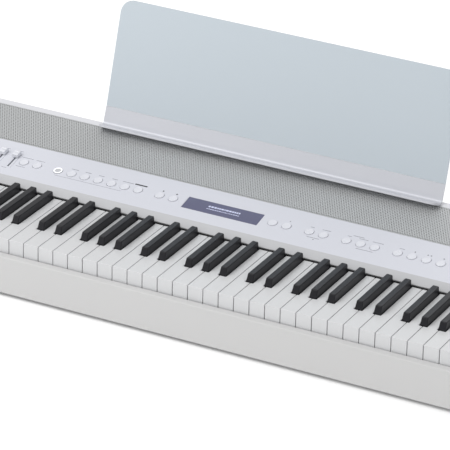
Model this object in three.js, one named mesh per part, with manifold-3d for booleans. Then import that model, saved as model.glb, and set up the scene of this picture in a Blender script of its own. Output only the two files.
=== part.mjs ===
// A portable stage piano: 88 hinged keys in a slim case, a sloping control panel, a full-width
// speaker grille and a lift-off music rest. Millimetres, +X to the player's right, +Y to the back,
// +Z up. The origin is under the middle of the whole object, on the surface that it stands on.
import * as THREE from 'three';
import { mergeVertices } from 'three/addons/utils/BufferGeometryUtils.js';
import Module from 'manifold-3d';

const wasm = await Module();
wasm.setup();

// ---------------------------------------------------------------- driving dimensions
const FIT = 0.3; // gap between two pieces that touch
const WALL = 3; // moulded case wall

// keyboard; Y = 0 is the front of the white keys
const WHITE_COUNT = 52;
const WHITE_PITCH = 23.5;
const KEY_GAP = 1; // between neighbouring white keys
const WHITE_LENGTH = 149.5; // the part of a white key in front of the lip
const WHITE_THICKNESS = 14;
const WHITE_FRONT_HEIGHT = 30;
const BLACK_FRONT = 50; // from the front of the white keys to the front of a black key
const BLACK_WIDTH = 11.2;
const BLACK_TOP_WIDTH = 9.4;
const BLACK_HEIGHT = 10.8;
const BLACK_FRONT_SLOPE = 5;
const BLACK_SIDE_GAP = 1.1;
const PIVOT_BEHIND_KEYS = 82; // from the back of the visible key to the rod that it turns on
const PIVOT_ROD_DIAMETER = 5;
const WHITE_TRAVEL = 10; // at the front of the key

// case
const KEY_TOP = 84; // white key tops above the floor
const FOOT_HEIGHT = 5;
const FOOT_DIAMETER = 32;
const FRONT_OVERHANG = 10.5; // keyslip face in front of the white keys
const END_WIDTH = 33.5;
const END_GAP = 1; // between the end blocks and what lies between them
const KEYSLIP_DROP = 21; // white key top down to the back of the keyslip's top
const LIP_RISE = 10.5; // white key top up to the front edge of the control panel
const LIP_DEPTH = 11.2;
const PANEL_SLOPE = THREE.MathUtils.degToRad(11.5);
const PANEL_DEPTH = 79.2; // control panel, along the slope
const GRILLE_DEPTH = 81.5;
const REAR_STRIP_DEPTH = 12;
const GRILLE_THICKNESS = 1.2;
const FLOOR_THICKNESS = 4;

// controls; positions across the panel are from the middle of the keyboard
const BUTTON_DIAMETER = 13.6;
const BUTTON_PITCH = 21.8;
const BUTTON_GAP = 0.4; // all round a button, in its hole
const BUTTON_PROUD = 0.9;
const BUTTON_WEB = 1.6; // thickness of the web that joins a row of buttons
const BUTTON_TRAVEL = 0.8;
const DISPLAY_WIDTH = 119.4;
const DISPLAY_DEPTH = 26.3;
const DISPLAY_X = -4.4;
const SLIDER_SLOT_LENGTH = 33;
const SLIDER_SLOT_WIDTH = 2.6;
const SLIDER_CAP = { width: 9, length: 13, height: 7 };
const SLIDER_TRAVEL = 24; // down from the top, where the caps stand

// music rest
const REST_WIDTH = 543;
const REST_X = 4;
const REST_THICKNESS = 3;
const REST_LEDGE_DEPTH = 20;
const REST_BAND_HEIGHT = 27;
const REST_PLATE_HEIGHT = 156;
const REST_BAND_LEAN = THREE.MathUtils.degToRad(20.5);
const REST_PLATE_LEAN = THREE.MathUtils.degToRad(16.6);
const REST_TOP_RADIUS = 22;
const REST_LEDGE_RADIUS = 12;
const TONGUE = { width: 30, length: 22, thickness: 3, spacing: 330 };

// ---------------------------------------------------------------- derived sizes
const keyboardWidth = WHITE_COUNT * WHITE_PITCH;
const innerHalf = keyboardWidth / 2 + END_GAP;
const outerHalf = innerHalf + END_WIDTH;
const frontY = -FRONT_OVERHANG;
const panelY = WHITE_LENGTH + 1.5 + LIP_DEPTH;
const panelZ = KEY_TOP + LIP_RISE;
const grilleStart = PANEL_DEPTH + FIT;
const stripStart = grilleStart + GRILLE_DEPTH + FIT;
const stripEnd = stripStart + REAR_STRIP_DEPTH;
const rearY = panelY + stripEnd * Math.cos(PANEL_SLOPE);
const caseBottom = FOOT_HEIGHT;
const floorTop = caseBottom + FLOOR_THICKNESS;
const pivotY = WHITE_LENGTH + PIVOT_BEHIND_KEYS;
const pivotZ = KEY_TOP - 15;
const tailEnd = pivotY + 8;
const pivotSlot = PIVOT_ROD_DIAMETER / 2 + FIT;
const railBack = tailEnd + 12;
const middleOfPanel = PANEL_DEPTH / 2 - 1;
const columnSpan = stripStart - grilleStart;

// A point of the panel plane: s millimetres up the slope from its front edge, n above it.
function onSlope(s, n = 0) {
  return [
    panelY + s * Math.cos(PANEL_SLOPE) - n * Math.sin(PANEL_SLOPE),
    panelZ + s * Math.sin(PANEL_SLOPE) + n * Math.cos(PANEL_SLOPE),
  ];
}

const slopeFrame = new THREE.Matrix4()
  .makeTranslation(0, panelY, panelZ)
  .multiply(new THREE.Matrix4().makeRotationX(PANEL_SLOPE));

// ---------------------------------------------------------------- shape helpers

// Outline with rounded corners: each corner is [u, v] or [u, v, radius].
function outline(corners) {
  const shape = new THREE.Shape();
  const count = corners.length;
  corners.forEach((corner, i) => {
    const here = new THREE.Vector2(corner[0], corner[1]);
    const radius = corner[2] ?? 0;
    if (radius === 0) {
      if (i === 0) shape.moveTo(here.x, here.y);
      else shape.lineTo(here.x, here.y);
      return;
    }
    const before = new THREE.Vector2(...corners[(i + count - 1) % count].slice(0, 2)).sub(here);
    const after = new THREE.Vector2(...corners[(i + 1) % count].slice(0, 2)).sub(here);
    const start = here.clone().addScaledVector(before.normalize(), radius);
    const end = here.clone().addScaledVector(after.normalize(), radius);
    if (i === 0) shape.moveTo(start.x, start.y);
    else shape.lineTo(start.x, start.y);
    shape.quadraticCurveTo(here.x, here.y, end.x, end.y);
  });
  return shape;
}

// Closed outline of a sheet that follows a line of points, its thickness to the right of the line.
function sheetOutline(points, thickness) {
  const line = points.map(([u, v]) => new THREE.Vector2(u, v));
  const far = line.map((point, i) => {
    const back = line[Math.max(i - 1, 0)];
    const next = line[Math.min(i + 1, line.length - 1)];
    const inward = i > 0 ? point.clone().sub(back).normalize() : next.clone().sub(point).normalize();
    const onward = i < line.length - 1 ? next.clone().sub(point).normalize() : inward.clone();
    const mitre = inward.clone().add(onward).normalize();
    const reach = thickness / Math.max(mitre.dot(inward), 0.4);
    return new THREE.Vector2(point.x + mitre.y * reach, point.y - mitre.x * reach);
  });
  return [...line, ...far.reverse()].map((point) => [point.x, point.y]);
}

function extruded(shape, depth) {
  return new THREE.ExtrudeGeometry(shape, { depth, bevelEnabled: false, curveSegments: 5 });
}

// A (Y, Z) outline carried along X, an (X, Z) outline along Y, and an (X, Y) outline along Z.
function alongX(corners, x0, x1) {
  const axes = new THREE.Matrix4().makeBasis(
    new THREE.Vector3(0, 1, 0), new THREE.Vector3(0, 0, 1), new THREE.Vector3(1, 0, 0));
  return solidOf(extruded(outline(corners), x1 - x0).applyMatrix4(axes).translate(x0, 0, 0));
}

function alongY(corners, y0, y1) {
  const axes = new THREE.Matrix4().makeBasis(
    new THREE.Vector3(1, 0, 0), new THREE.Vector3(0, 0, 1), new THREE.Vector3(0, -1, 0));
  return solidOf(extruded(outline(corners), y1 - y0).applyMatrix4(axes).translate(0, y1, 0));
}

function alongZ(corners, z0, z1) {
  return solidOf(extruded(outline(corners), z1 - z0).translate(0, 0, z0));
}

function box(x0, x1, y0, y1, z0, z1) {
  const geometry = new THREE.BoxGeometry(x1 - x0, y1 - y0, z1 - z0);
  return solidOf(geometry.translate((x0 + x1) / 2, (y0 + y1) / 2, (z0 + z1) / 2));
}

// An upright round bar from z0 to z1.
function round(radius, z0, z1, x = 0, y = 0, sides = 16) {
  const geometry = new THREE.CylinderGeometry(radius, radius, z1 - z0, sides);
  return solidOf(geometry.rotateX(Math.PI / 2).translate(x, y, (z0 + z1) / 2));
}

// A round bar lying along X or along Y.
function roundAlong(axis, radius, from, to, sides = 16) {
  const geometry = new THREE.CylinderGeometry(radius, radius, to - from, sides);
  geometry.translate(0, (from + to) / 2, 0);
  return solidOf(axis === 'x' ? geometry.rotateZ(-Math.PI / 2) : geometry);
}

// A turned piece: [radius, height] points from the axis round to the axis.
function turned(points, sides = 20) {
  const profile = points.map(([radius, height]) => new THREE.Vector2(radius, height));
  return solidOf(new THREE.LatheGeometry(profile, sides).rotateX(Math.PI / 2));
}

function solidOf(geometry) {
  const bare = geometry.index ? geometry.toNonIndexed() : geometry.clone();
  bare.deleteAttribute('normal');
  bare.deleteAttribute('uv');
  const merged = mergeVertices(bare, 1e-4);
  return new wasm.Manifold(new wasm.Mesh({
    numProp: 3,
    vertProperties: new Float32Array(merged.attributes.position.array),
    triVerts: new Uint32Array(merged.index.array),
  }));
}

function joined(solids) {
  return solids.reduce((sum, solid) => sum.add(solid));
}

function mirroredX(solid) {
  return solid.mirror([1, 0, 0]);
}

// Moves a solid made in the panel's own plane (X, s, n) to its place on the slope.
function tilted(solid) {
  return solid.transform(slopeFrame.toArray());
}

function geometryOf(solid) {
  const mesh = solid.getMesh();
  const geometry = new THREE.BufferGeometry();
  const stride = mesh.numProp;
  const positions = new Float32Array(mesh.numVert * 3);
  for (let i = 0; i < mesh.numVert; i++) {
    positions.set(mesh.vertProperties.subarray(i * stride, i * stride + 3), i * 3);
  }
  geometry.setAttribute('position', new THREE.BufferAttribute(positions, 3));
  geometry.setIndex(new THREE.BufferAttribute(mesh.triVerts, 1));
  geometry.computeVertexNormals();
  return geometry;
}

// ---------------------------------------------------------------- materials
const finish = (color, roughness, metalness = 0) =>
  new THREE.MeshStandardMaterial({ color, roughness, metalness });
const MATERIALS = {
  caseWhite: finish(0xdcdee3, 0.45),
  keyslipWhite: finish(0xd4d4d6, 0.5),
  panelWhite: finish(0xdbdde4, 0.4),
  grille: finish(0xa9adaf, 0.45, 0.6),
  whiteKey: finish(0xe2e3e4, 0.3),
  blackKey: finish(0x26262a, 0.5),
  button: finish(0xe0e2e8, 0.4),
  lamp: finish(0xf6f8ff, 0.3),
  glass: finish(0x62668a, 0.15),
  rest: finish(0xc4ccd2, 0.35, 0.4),
  rubber: finish(0x2b2b2d, 0.9),
  redFelt: finish(0x8c2430, 1),
  steel: finish(0x9a9ca0, 0.35, 0.9),
  blackPlastic: finish(0x2a2b2e, 0.55),
  board: finish(0x2f6b45, 0.6),
  cone: finish(0x1c1c1e, 0.8),
};

const instrument = new THREE.Group();

function add(name, solid, material) {
  const mesh = new THREE.Mesh(geometryOf(solid), material);
  mesh.name = name;
  instrument.add(mesh);
}

// ---------------------------------------------------------------- keys
const NOTE_NAMES = ['C', 'C_sharp', 'D', 'D_sharp', 'E', 'F', 'F_sharp', 'G', 'G_sharp', 'A', 'A_sharp', 'B'];
// A black key's middle, from the joint between the two white keys that it stands over.
const BLACK_OFFSET = { C_sharp: -2.2, D_sharp: 2.2, F_sharp: -3.3, G_sharp: 0, A_sharp: 3.4 };
const FIRST_NOTE = 21;
const NOTE_COUNT = 88;
const FIRST_SINGLE = 60; // the octave from middle C has its keys as single nodes
const LAST_SINGLE = 71;
const HAMMER = { width: 6.4, leverHeight: 11, headHeight: 25, headLength: 36, clearance: 3 };

function listKeys() {
  const keys = [];
  let whites = 0;
  for (let note = FIRST_NOTE; note < FIRST_NOTE + NOTE_COUNT; note++) {
    const name = NOTE_NAMES[note % 12];
    const octave = Math.floor(note / 12) - 1;
    const black = name.endsWith('_sharp');
    const left = (whites - WHITE_COUNT / 2) * WHITE_PITCH;
    const middle = black ? left + BLACK_OFFSET[name] : left + WHITE_PITCH / 2;
    keys.push({ note, name, octave, black, left, middle });
    if (!black) whites += 1;
  }
  return keys;
}

const keys = listKeys();
const blackHalf = BLACK_WIDTH / 2 + BLACK_SIDE_GAP;
const tailTop = KEY_TOP - 8;
const whiteTailBottom = KEY_TOP - 22;
const blackTailTop = KEY_TOP - 11;
const blackTailBottom = KEY_TOP - 30;

// Side view of a tail's end, with the slot that rides on the pivot rod, from the bottom round to the top.
function tailEndCorners(bottom, top) {
  return [
    [tailEnd, bottom],
    [tailEnd, pivotZ - pivotSlot],
    [pivotY - pivotSlot, pivotZ - pivotSlot],
    [pivotY - pivotSlot, pivotZ + pivotSlot],
    [tailEnd, pivotZ + pivotSlot],
    [tailEnd, top],
  ];
}

function whiteKey(key) {
  const index = keys.indexOf(key);
  const right = key.left + WHITE_PITCH;
  const x0 = key.left + KEY_GAP / 2;
  const x1 = right - KEY_GAP / 2;
  const below = keys[index - 1];
  const above = keys[index + 1];
  const tailX0 = below?.black ? below.middle + blackHalf : x0;
  const tailX1 = above?.black ? above.middle - blackHalf : x1;
  const notchY = BLACK_FRONT - BLACK_SIDE_GAP;
  const plan = alongZ([
    [x0, 0], [x1, 0], [x1, notchY], [tailX1, notchY],
    [tailX1, tailEnd], [tailX0, tailEnd], [tailX0, notchY], [x0, notchY],
  ], KEY_TOP - WHITE_FRONT_HEIGHT, KEY_TOP);
  const side = alongX([
    [0, KEY_TOP], [0, KEY_TOP - WHITE_FRONT_HEIGHT],
    [WALL, KEY_TOP - WHITE_FRONT_HEIGHT], [WALL, KEY_TOP - WHITE_THICKNESS],
    [WHITE_LENGTH - 30, KEY_TOP - WHITE_THICKNESS], [WHITE_LENGTH - 20, whiteTailBottom],
    ...tailEndCorners(whiteTailBottom, tailTop),
    [WHITE_LENGTH, tailTop], [WHITE_LENGTH, KEY_TOP],
  ], x0, x1);
  return plan.intersect(side);
}

function blackKey(key) {
  const base = BLACK_WIDTH / 2;
  const top = BLACK_TOP_WIDTH / 2;
  const section = alongY([
    [key.middle - base, blackTailBottom], [key.middle + base, blackTailBottom],
    [key.middle + base, KEY_TOP + 1], [key.middle + top, KEY_TOP + BLACK_HEIGHT],
    [key.middle - top, KEY_TOP + BLACK_HEIGHT], [key.middle - base, KEY_TOP + 1],
  ], BLACK_FRONT - 1, tailEnd);
  const back = WHITE_LENGTH - 1;
  const side = alongX([
    [BLACK_FRONT, KEY_TOP - WHITE_THICKNESS], [WHITE_LENGTH - 30, KEY_TOP - WHITE_THICKNESS],
    [WHITE_LENGTH - 10, blackTailBottom],
    ...tailEndCorners(blackTailBottom, blackTailTop),
    [back, blackTailTop], [back, KEY_TOP + BLACK_HEIGHT],
    [BLACK_FRONT + BLACK_FRONT_SLOPE, KEY_TOP + BLACK_HEIGHT], [BLACK_FRONT, KEY_TOP + 1],
  ], key.middle - base - 1, key.middle + base + 1);
  return section.intersect(side);
}

// The keys outside the single octave are joined in four banks by a rail behind the lip: the white
// keys' rail lies on their tails, the black keys' rail lies under the white keys' tails.
function keyBank(bank) {
  const black = bank[0].black;
  const x0 = bank[0].middle;
  const x1 = bank[bank.length - 1].middle;
  const rail = black
    ? box(x0, x1, pivotY - 24, pivotY - 14, blackTailBottom, blackTailBottom + 4.5)
    : box(x0, x1, pivotY - 48, pivotY - 38, tailTop - 0.5, tailTop + 5);
  return joined([rail, ...bank.map(black ? blackKey : whiteKey)]);
}

function addKeys() {
  const low = keys.filter((key) => key.note < FIRST_SINGLE);
  const high = keys.filter((key) => key.note > LAST_SINGLE);
  const banks = {
    white_keys_low: low.filter((key) => !key.black),
    white_keys_high: high.filter((key) => !key.black),
    black_keys_low: low.filter((key) => key.black),
    black_keys_high: high.filter((key) => key.black),
  };
  for (const [name, bank] of Object.entries(banks)) {
    add(name, keyBank(bank), bank[0].black ? MATERIALS.blackKey : MATERIALS.whiteKey);
  }
  for (const key of keys.filter((k) => k.note >= FIRST_SINGLE && k.note <= LAST_SINGLE)) {
    const solid = key.black ? blackKey(key) : whiteKey(key);
    add(`key_${key.name}_${key.octave}`, solid, key.black ? MATERIALS.blackKey : MATERIALS.whiteKey);
  }
}

// ---------------------------------------------------------------- key action
const chassisBase = floorTop + FIT;
const SHEET = 2.5; // folded steel of the chassis
const chassisFront = 8;
const feltTop = KEY_TOP - WHITE_THICKNESS - WHITE_TRAVEL + 0.2;
const FELT_THICKNESS = 4;
const shelfTop = feltTop - FELT_THICKNESS - FIT;
const halfAction = keyboardWidth / 2 - 1;

function addAction() {
  const shelfBack = chassisFront + 26;
  const chassis = [
    [chassisFront, chassisBase], [railBack + 8, chassisBase], [railBack + 8, chassisBase + SHEET],
    [chassisFront + SHEET, chassisBase + SHEET], [chassisFront + SHEET, shelfTop - SHEET],
    [shelfBack, shelfTop - SHEET], [shelfBack, shelfTop], [chassisFront, shelfTop],
  ];
  add('keybed_chassis', alongX(chassis, -halfAction, halfAction), MATERIALS.steel);

  const felt = box(-halfAction, halfAction, chassisFront + 2, shelfBack - 2, shelfTop + FIT, feltTop);
  add('key_stop_felt', felt, MATERIALS.redFelt);

  const rod = roundAlong('x', PIVOT_ROD_DIAMETER / 2, -innerHalf + FIT, innerHalf - FIT, 12);
  add('pivot_rod', rod.translate([0, pivotY, pivotZ]), MATERIALS.steel);

  const webFront = pivotY + PIVOT_ROD_DIAMETER / 2 + FIT;
  const rail = [
    [railBack, chassisBase + SHEET + FIT], [railBack + SHEET, chassisBase + SHEET + FIT],
    [railBack + SHEET, pivotZ + SHEET / 2], [webFront, pivotZ + SHEET / 2],
    [webFront, pivotZ - SHEET / 2], [railBack, pivotZ - SHEET / 2],
  ];
  add('balance_rail', alongX(rail, -halfAction, halfAction), MATERIALS.steel);

  add('hammer_bank', hammerBank(), MATERIALS.steel);
}

// One weighted lever under each key, all standing out of the bar that they hang on: the levers' plan
// is a comb, cut to their side view, with the weight at the front.
function hammerBank() {
  const bottom = chassisBase + SHEET + HAMMER.clearance;
  const top = bottom + HAMMER.headHeight;
  const barTop = bottom + HAMMER.leverHeight;
  const headY = chassisFront + 42;
  const headBackY = headY + HAMMER.headLength;
  const barFrontY = pivotY - 40;
  const barBackY = pivotY - 26;
  const teeth = keys.map((key) => key.middle).sort((a, b) => a - b).flatMap((x) => [
    [x - HAMMER.width / 2, barFrontY], [x - HAMMER.width / 2, headY],
    [x + HAMMER.width / 2, headY], [x + HAMMER.width / 2, barFrontY],
  ]);
  const [first, last] = [teeth[0][0], teeth[teeth.length - 1][0]];
  const comb = alongZ([...teeth, [last, barBackY], [first, barBackY]], bottom, top);
  const side = alongX([
    [headY, bottom], [barBackY, bottom], [barBackY, barTop], [headBackY, barTop], [headBackY, top], [headY, top],
  ], first - 1, last + 1);
  return comb.intersect(side);
}

// ---------------------------------------------------------------- case
function addCase() {
  const floorHalf = outerHalf - WALL - FIT;
  const floorFront = frontY + WALL + FIT;
  const floorBack = rearY - WALL - FIT;
  const floor = box(-floorHalf, floorHalf, floorFront, floorBack, caseBottom, floorTop);
  const ribs = [-1, 1].map((side) =>
    box(side * 230 - 1.5, side * 230 + 1.5, railBack + 14, floorBack - 4, floorTop - 1, floorTop + 14));
  const sill = [
    box(BAY_LEFT, bayRight, floorBack - 1, rearY, caseBottom, floorTop),
    box(BAY_LEFT, bayRight, rearY - WALL, rearY, caseBottom, bayBottom),
  ];
  add('bottom_case', joined([floor, ...ribs, ...sill]), MATERIALS.blackPlastic);

  const slipTop = KEY_TOP - KEYSLIP_DROP;
  const slipBack = -1.2;
  const keyslip = [
    [frontY, caseBottom], [frontY, slipTop - 3.5, 3.5], [slipBack, slipTop],
    [slipBack, slipTop - WALL], [frontY + WALL, slipTop - 3.5 - WALL], [frontY + WALL, caseBottom],
  ];
  add('keyslip', alongX(keyslip, -innerHalf + FIT, innerHalf - FIT), MATERIALS.keyslipWhite);

  const left = endBlock();
  add('end_block_left', left, MATERIALS.caseWhite);
  add('end_block_right', mirroredX(left), MATERIALS.caseWhite);

  addTop();
  addRear();
  addFeet();
}

// The left end block: a shell open underneath, with its top following the keys and the panel.
function endBlock() {
  const cheekTop = KEY_TOP + 5;
  const [rearEdgeY, rearEdgeZ] = onSlope(stripEnd);
  const side = [
    [frontY, caseBottom], [frontY, cheekTop - 6, 8], [frontY + 14, cheekTop, 6],
    [WHITE_LENGTH - 4, cheekTop, 6], [panelY, panelZ, 4], [rearEdgeY, rearEdgeZ, 4],
    [rearY, caseBottom],
  ];
  const shell = alongX(side, -outerHalf, -innerHalf);
  const hollow = [
    [frontY + WALL, caseBottom - 1], [frontY + WALL, cheekTop - 12], [frontY + 18, cheekTop - WALL],
    [WHITE_LENGTH - 4, cheekTop - WALL], [panelY, panelZ - WALL - 2],
    [rearY - WALL, rearEdgeZ - WALL - 4], [rearY - WALL, caseBottom - 1],
  ];
  const pocket = alongX(hollow, -outerHalf + WALL, -innerHalf - WALL);
  const floorRelief = box(-outerHalf + WALL, -innerHalf + 1, frontY + WALL, rearY - WALL,
    caseBottom - 1, floorTop + FIT);
  return shell.subtract(pocket).subtract(floorRelief);
}

function addTop() {
  const half = innerHalf - FIT;
  const lipFootY = WHITE_LENGTH + 1.5;
  const skin = sheetOutline([
    [lipFootY, KEY_TOP + 0.4],
    [lipFootY + LIP_DEPTH * 0.42, KEY_TOP + LIP_RISE * 0.56],
    [lipFootY + LIP_DEPTH * 0.78, KEY_TOP + LIP_RISE * 0.9],
    onSlope(2), onSlope(PANEL_DEPTH),
  ], WALL);
  const panel = alongX(skin, -half, half);
  const holes = [
    ...CLUSTERS.flatMap((cluster) => buttonPlaces(cluster).map((x) =>
      round(BUTTON_DIAMETER / 2 + BUTTON_GAP, -WALL - 2, 2, x, middleOfPanel))),
    ...SLIDERS.map(({ x }) => box(x - SLIDER_SLOT_WIDTH / 2, x + SLIDER_SLOT_WIDTH / 2,
      middleOfPanel - SLIDER_SLOT_LENGTH / 2, middleOfPanel + SLIDER_SLOT_LENGTH / 2, -WALL - 2, 2)),
    box(DISPLAY_X - DISPLAY_WIDTH / 2 - FIT, DISPLAY_X + DISPLAY_WIDTH / 2 + FIT,
      middleOfPanel - DISPLAY_DEPTH / 2 - FIT, middleOfPanel + DISPLAY_DEPTH / 2 + FIT, -WALL - 2, 2),
  ];
  add('control_panel', panel.subtract(tilted(joined(holes))), MATERIALS.panelWhite);

  const sheet = [
    onSlope(grilleStart, 0), onSlope(grilleStart, -GRILLE_THICKNESS - 4),
    onSlope(grilleStart + 1.2, -GRILLE_THICKNESS - 4), onSlope(grilleStart + 1.2, -GRILLE_THICKNESS),
    onSlope(stripStart - FIT, -GRILLE_THICKNESS), onSlope(stripStart - FIT, 0),
  ];
  add('speaker_grille', alongX(sheet, -half, half), MATERIALS.grille);
}

function addRear() {
  const half = innerHalf - FIT;
  const [edgeY, edgeZ] = onSlope(stripEnd);
  const skirtBottom = edgeZ - 24;
  const strip = [
    onSlope(stripStart), onSlope(stripStart, -WALL), [edgeY - WALL, edgeZ - WALL - 2],
    [edgeY - WALL, skirtBottom], [edgeY, skirtBottom], [edgeY, edgeZ, 3],
  ];
  const slots = tonguePlaces().map((x) => box(
    x - TONGUE.width / 2 - FIT, x + TONGUE.width / 2 + FIT,
    tongueY - FIT, tongueY + TONGUE.thickness + FIT, edgeZ - 20, edgeZ + 10));
  add('rear_cover', alongX(strip, -half, half).subtract(joined(slots)), MATERIALS.caseWhite);

  const panelTop = skirtBottom - FIT;
  const wall = (x0, x1, bottom) => box(x0, x1, rearY - WALL, rearY, bottom, panelTop);
  add('rear_panel_left', wall(-half, BAY_LEFT - FIT, caseBottom), MATERIALS.caseWhite);
  add('rear_panel', wall(bayRight + FIT, half, caseBottom), MATERIALS.caseWhite);
  add('rear_bridge', wall(BAY_LEFT, bayRight, bayTop), MATERIALS.caseWhite);
}

function addFeet() {
  const frontFootY = frontY + 34;
  const backFootY = rearY - 34;
  const footX = outerHalf - 62;
  for (const [row, y] of [['front', frontFootY], ['back', backFootY]]) {
    for (const [side, x] of [['left', -footX], ['right', footX]]) {
      const radius = FOOT_DIAMETER / 2;
      const foot = turned([[0, 0], [radius - 2, 0], [radius, 2], [radius, FOOT_HEIGHT - FIT], [0, FOOT_HEIGHT - FIT]]);
      add(`foot_${row}_${side}`, foot.translate([x, y, 0]), MATERIALS.rubber);
    }
  }
}

// ---------------------------------------------------------------- controls
const CLUSTERS = [
  { name: 'buttons_effect', middle: -317.6, count: 2 },
  { name: 'button_piano_lit', middle: -271.8, count: 1 },
  { name: 'buttons_tone', middle: -195, count: 6 },
  { name: 'buttons_select', middle: -94.8, count: 2 },
  { name: 'buttons_value', middle: 85.1, count: 2 },
  { name: 'buttons_split', middle: 142.4, count: 2 },
  { name: 'buttons_rhythm', middle: 210.5, count: 3 },
  { name: 'buttons_song', middle: 299.8, count: 4 },
  { name: 'button_power', middle: -560, count: 1 },
];
const SLIDERS = [
  { name: 'slider_brilliance', x: -346.5 },
  { name: 'slider_ambience', x: -368.5 },
  { name: 'slider_volume', x: -412.5 },
];

function buttonPlaces({ middle, count }) {
  return Array.from({ length: count }, (_, i) => middle + (i - (count - 1) / 2) * BUTTON_PITCH);
}

// Buttons of one row on the web under the panel that joins them and holds them in.
function buttonCluster(cluster) {
  const places = buttonPlaces(cluster);
  const webTop = -WALL - 0.4;
  const webHalf = BUTTON_DIAMETER / 2 + 2;
  const caps = places.map((x) => round(BUTTON_DIAMETER / 2, webTop - 0.5, BUTTON_PROUD, x, middleOfPanel));
  const web = box(places[0] - webHalf, places[places.length - 1] + webHalf,
    middleOfPanel - webHalf, middleOfPanel + webHalf, webTop - BUTTON_WEB, webTop);
  return joined([web, ...caps]);
}

function slider() {
  const stem = 1.6;
  const { width, length, height } = SLIDER_CAP;
  const cap = [
    [-length / 2, 0.8], [-length / 2, height - 1, 1.5], [-1.4, height, 0.6], [0, height - 1, 0.6],
    [1.4, height, 0.6], [length / 2, height - 1, 1.5], [length / 2, 0.8],
  ];
  return joined([
    alongX(cap, -width / 2, width / 2),
    box(-stem / 2, stem / 2, -3, 3, -WALL - 4, 1.5),
  ]);
}

function addControls() {
  for (const cluster of CLUSTERS) {
    const lit = cluster.name.endsWith('_lit');
    add(cluster.name, tilted(buttonCluster(cluster)), lit ? MATERIALS.lamp : MATERIALS.button);
  }
  for (const { name, x } of SLIDERS) {
    add(name, tilted(slider().translate([x, middleOfPanel + SLIDER_TRAVEL / 2, 0])), MATERIALS.button);
  }

  const [x0, x1] = [DISPLAY_X - DISPLAY_WIDTH / 2, DISPLAY_X + DISPLAY_WIDTH / 2];
  const [s0, s1] = [middleOfPanel - DISPLAY_DEPTH / 2, middleOfPanel + DISPLAY_DEPTH / 2];
  add('display_window', tilted(box(x0, x1, s0, s1, -1.6, -0.2)), MATERIALS.glass);
  const lcd = box(x0 + 2, x1 - 2, s0 + 1.5, s1 - 1.5, -7.5, -1.6 - FIT);
  add('display_module', tilted(lcd), MATERIALS.blackPlastic);

  const boardTop = -WALL - 0.4 - BUTTON_WEB - BUTTON_TRAVEL - 3.4;
  const board = box(-350, 350, middleOfPanel - 26, middleOfPanel + 26, boardTop - 1.6, boardTop);
  add('switch_board', tilted(board), MATERIALS.board);
}

// ---------------------------------------------------------------- loudspeakers and electronics
const WOOFER = { x: 430, width: 116, height: 28 };
const SPEAKER_MARGIN = 2; // between a speaker box and the edges of the grille
// sockets, side by side in one bay of the rear panel
const SOCKET_HEIGHT = 24;
const INLET = { width: 27, depth: 24 };
const JACKS = { width: 124, depth: 22, diameter: 6.6, places: [-47, -23, 1, 25, 47] };
const USB = { width: 25, depth: 22 };
const BAY_LEFT = -402;
const inletX = BAY_LEFT + FIT + INLET.width / 2;
const jacksX = inletX + INLET.width / 2 + FIT + JACKS.width / 2;
const usbX = jacksX + JACKS.width / 2 + FIT + USB.width / 2;
const bayRight = usbX + USB.width / 2 + FIT;
const jackZ = caseBottom + 34;
const bayTop = jackZ + SOCKET_HEIGHT / 2 + FIT;
const bayBottom = jackZ - SOCKET_HEIGHT / 2 - FIT;
const middleOfGrille = grilleStart + columnSpan / 2;

function woofer() {
  const radius = WOOFER.width / 2;
  const cone = turned([
    [0, -12], [radius * 0.3, -12], [radius * 0.78, -3], [radius * 0.86, -1], [radius * 0.92, -3],
    [radius, -3], [radius, -6], [radius * 0.86, -7], [radius * 0.5, -18], [radius * 0.42, -18],
    [radius * 0.42, -WOOFER.height], [0, -WOOFER.height],
  ].reverse());
  return cone.scale([1, (columnSpan - 4 * SPEAKER_MARGIN) / WOOFER.width, 1]);
}

// An open-topped box that hangs under the woofer, its walls standing outside the woofer's frame.
function speakerBox() {
  const halfX = WOOFER.width / 2 + 2;
  const halfS = columnSpan / 2 - SPEAKER_MARGIN;
  const top = -8;
  const depth = WOOFER.height + WALL + 2 + top;
  const outer = box(-halfX, halfX, -halfS, halfS, top - depth, top);
  const inner = box(-halfX + WALL, halfX - WALL, -halfS + WALL, halfS - WALL, top - depth + WALL, top + 1);
  return outer.subtract(inner);
}

function addSound() {
  for (const [side, sign] of [['left', -1], ['right', 1]]) {
    const underGrille = (solid) =>
      tilted(solid.translate([WOOFER.x * sign, middleOfGrille, -GRILLE_THICKNESS - 2]));
    add(`woofer_${side}`, underGrille(woofer()), MATERIALS.cone);
    add(`speaker_box_${side}`, underGrille(speakerBox()), MATERIALS.blackPlastic);
  }
}

function addElectronics() {
  const y0 = railBack + 16;
  const y1 = rearY - WALL - JACKS.depth - 6;
  const boardZ = floorTop + 8;
  const chips = [-110, -40, 30, 85].map((x) => box(x, x + 22, y0 + 6, y0 + 24, boardZ + 1, boardZ + 5));
  const posts = [-150, 150].map((x) => box(x - 4, x + 4, y0 + 4, y1 - 4, floorTop + FIT, boardZ + 0.5));
  add('main_board', joined([box(-160, 160, y0, y1, boardZ, boardZ + 1.6), ...chips, ...posts]), MATERIALS.board);

  const supply = box(inletX - 60, inletX + 40, y0, y1 - 4, floorTop + FIT, floorTop + 30);
  add('power_supply', supply, MATERIALS.steel);

  const jackHoles = JACKS.places.map((dx) =>
    roundAlong('y', JACKS.diameter / 2, rearY - 16, rearY + 2).translate([jacksX + dx, 0, jackZ]));
  add('power_inlet', socketBlock(inletX, INLET, [socket(inletX, 20, 14, INLET.depth - 6)]), MATERIALS.blackPlastic);
  add('jack_block', socketBlock(jacksX, JACKS, jackHoles), MATERIALS.blackPlastic);
  add('usb_block', socketBlock(usbX, USB, [socket(usbX, 12, 8, 12)]), MATERIALS.blackPlastic);
}

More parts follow.
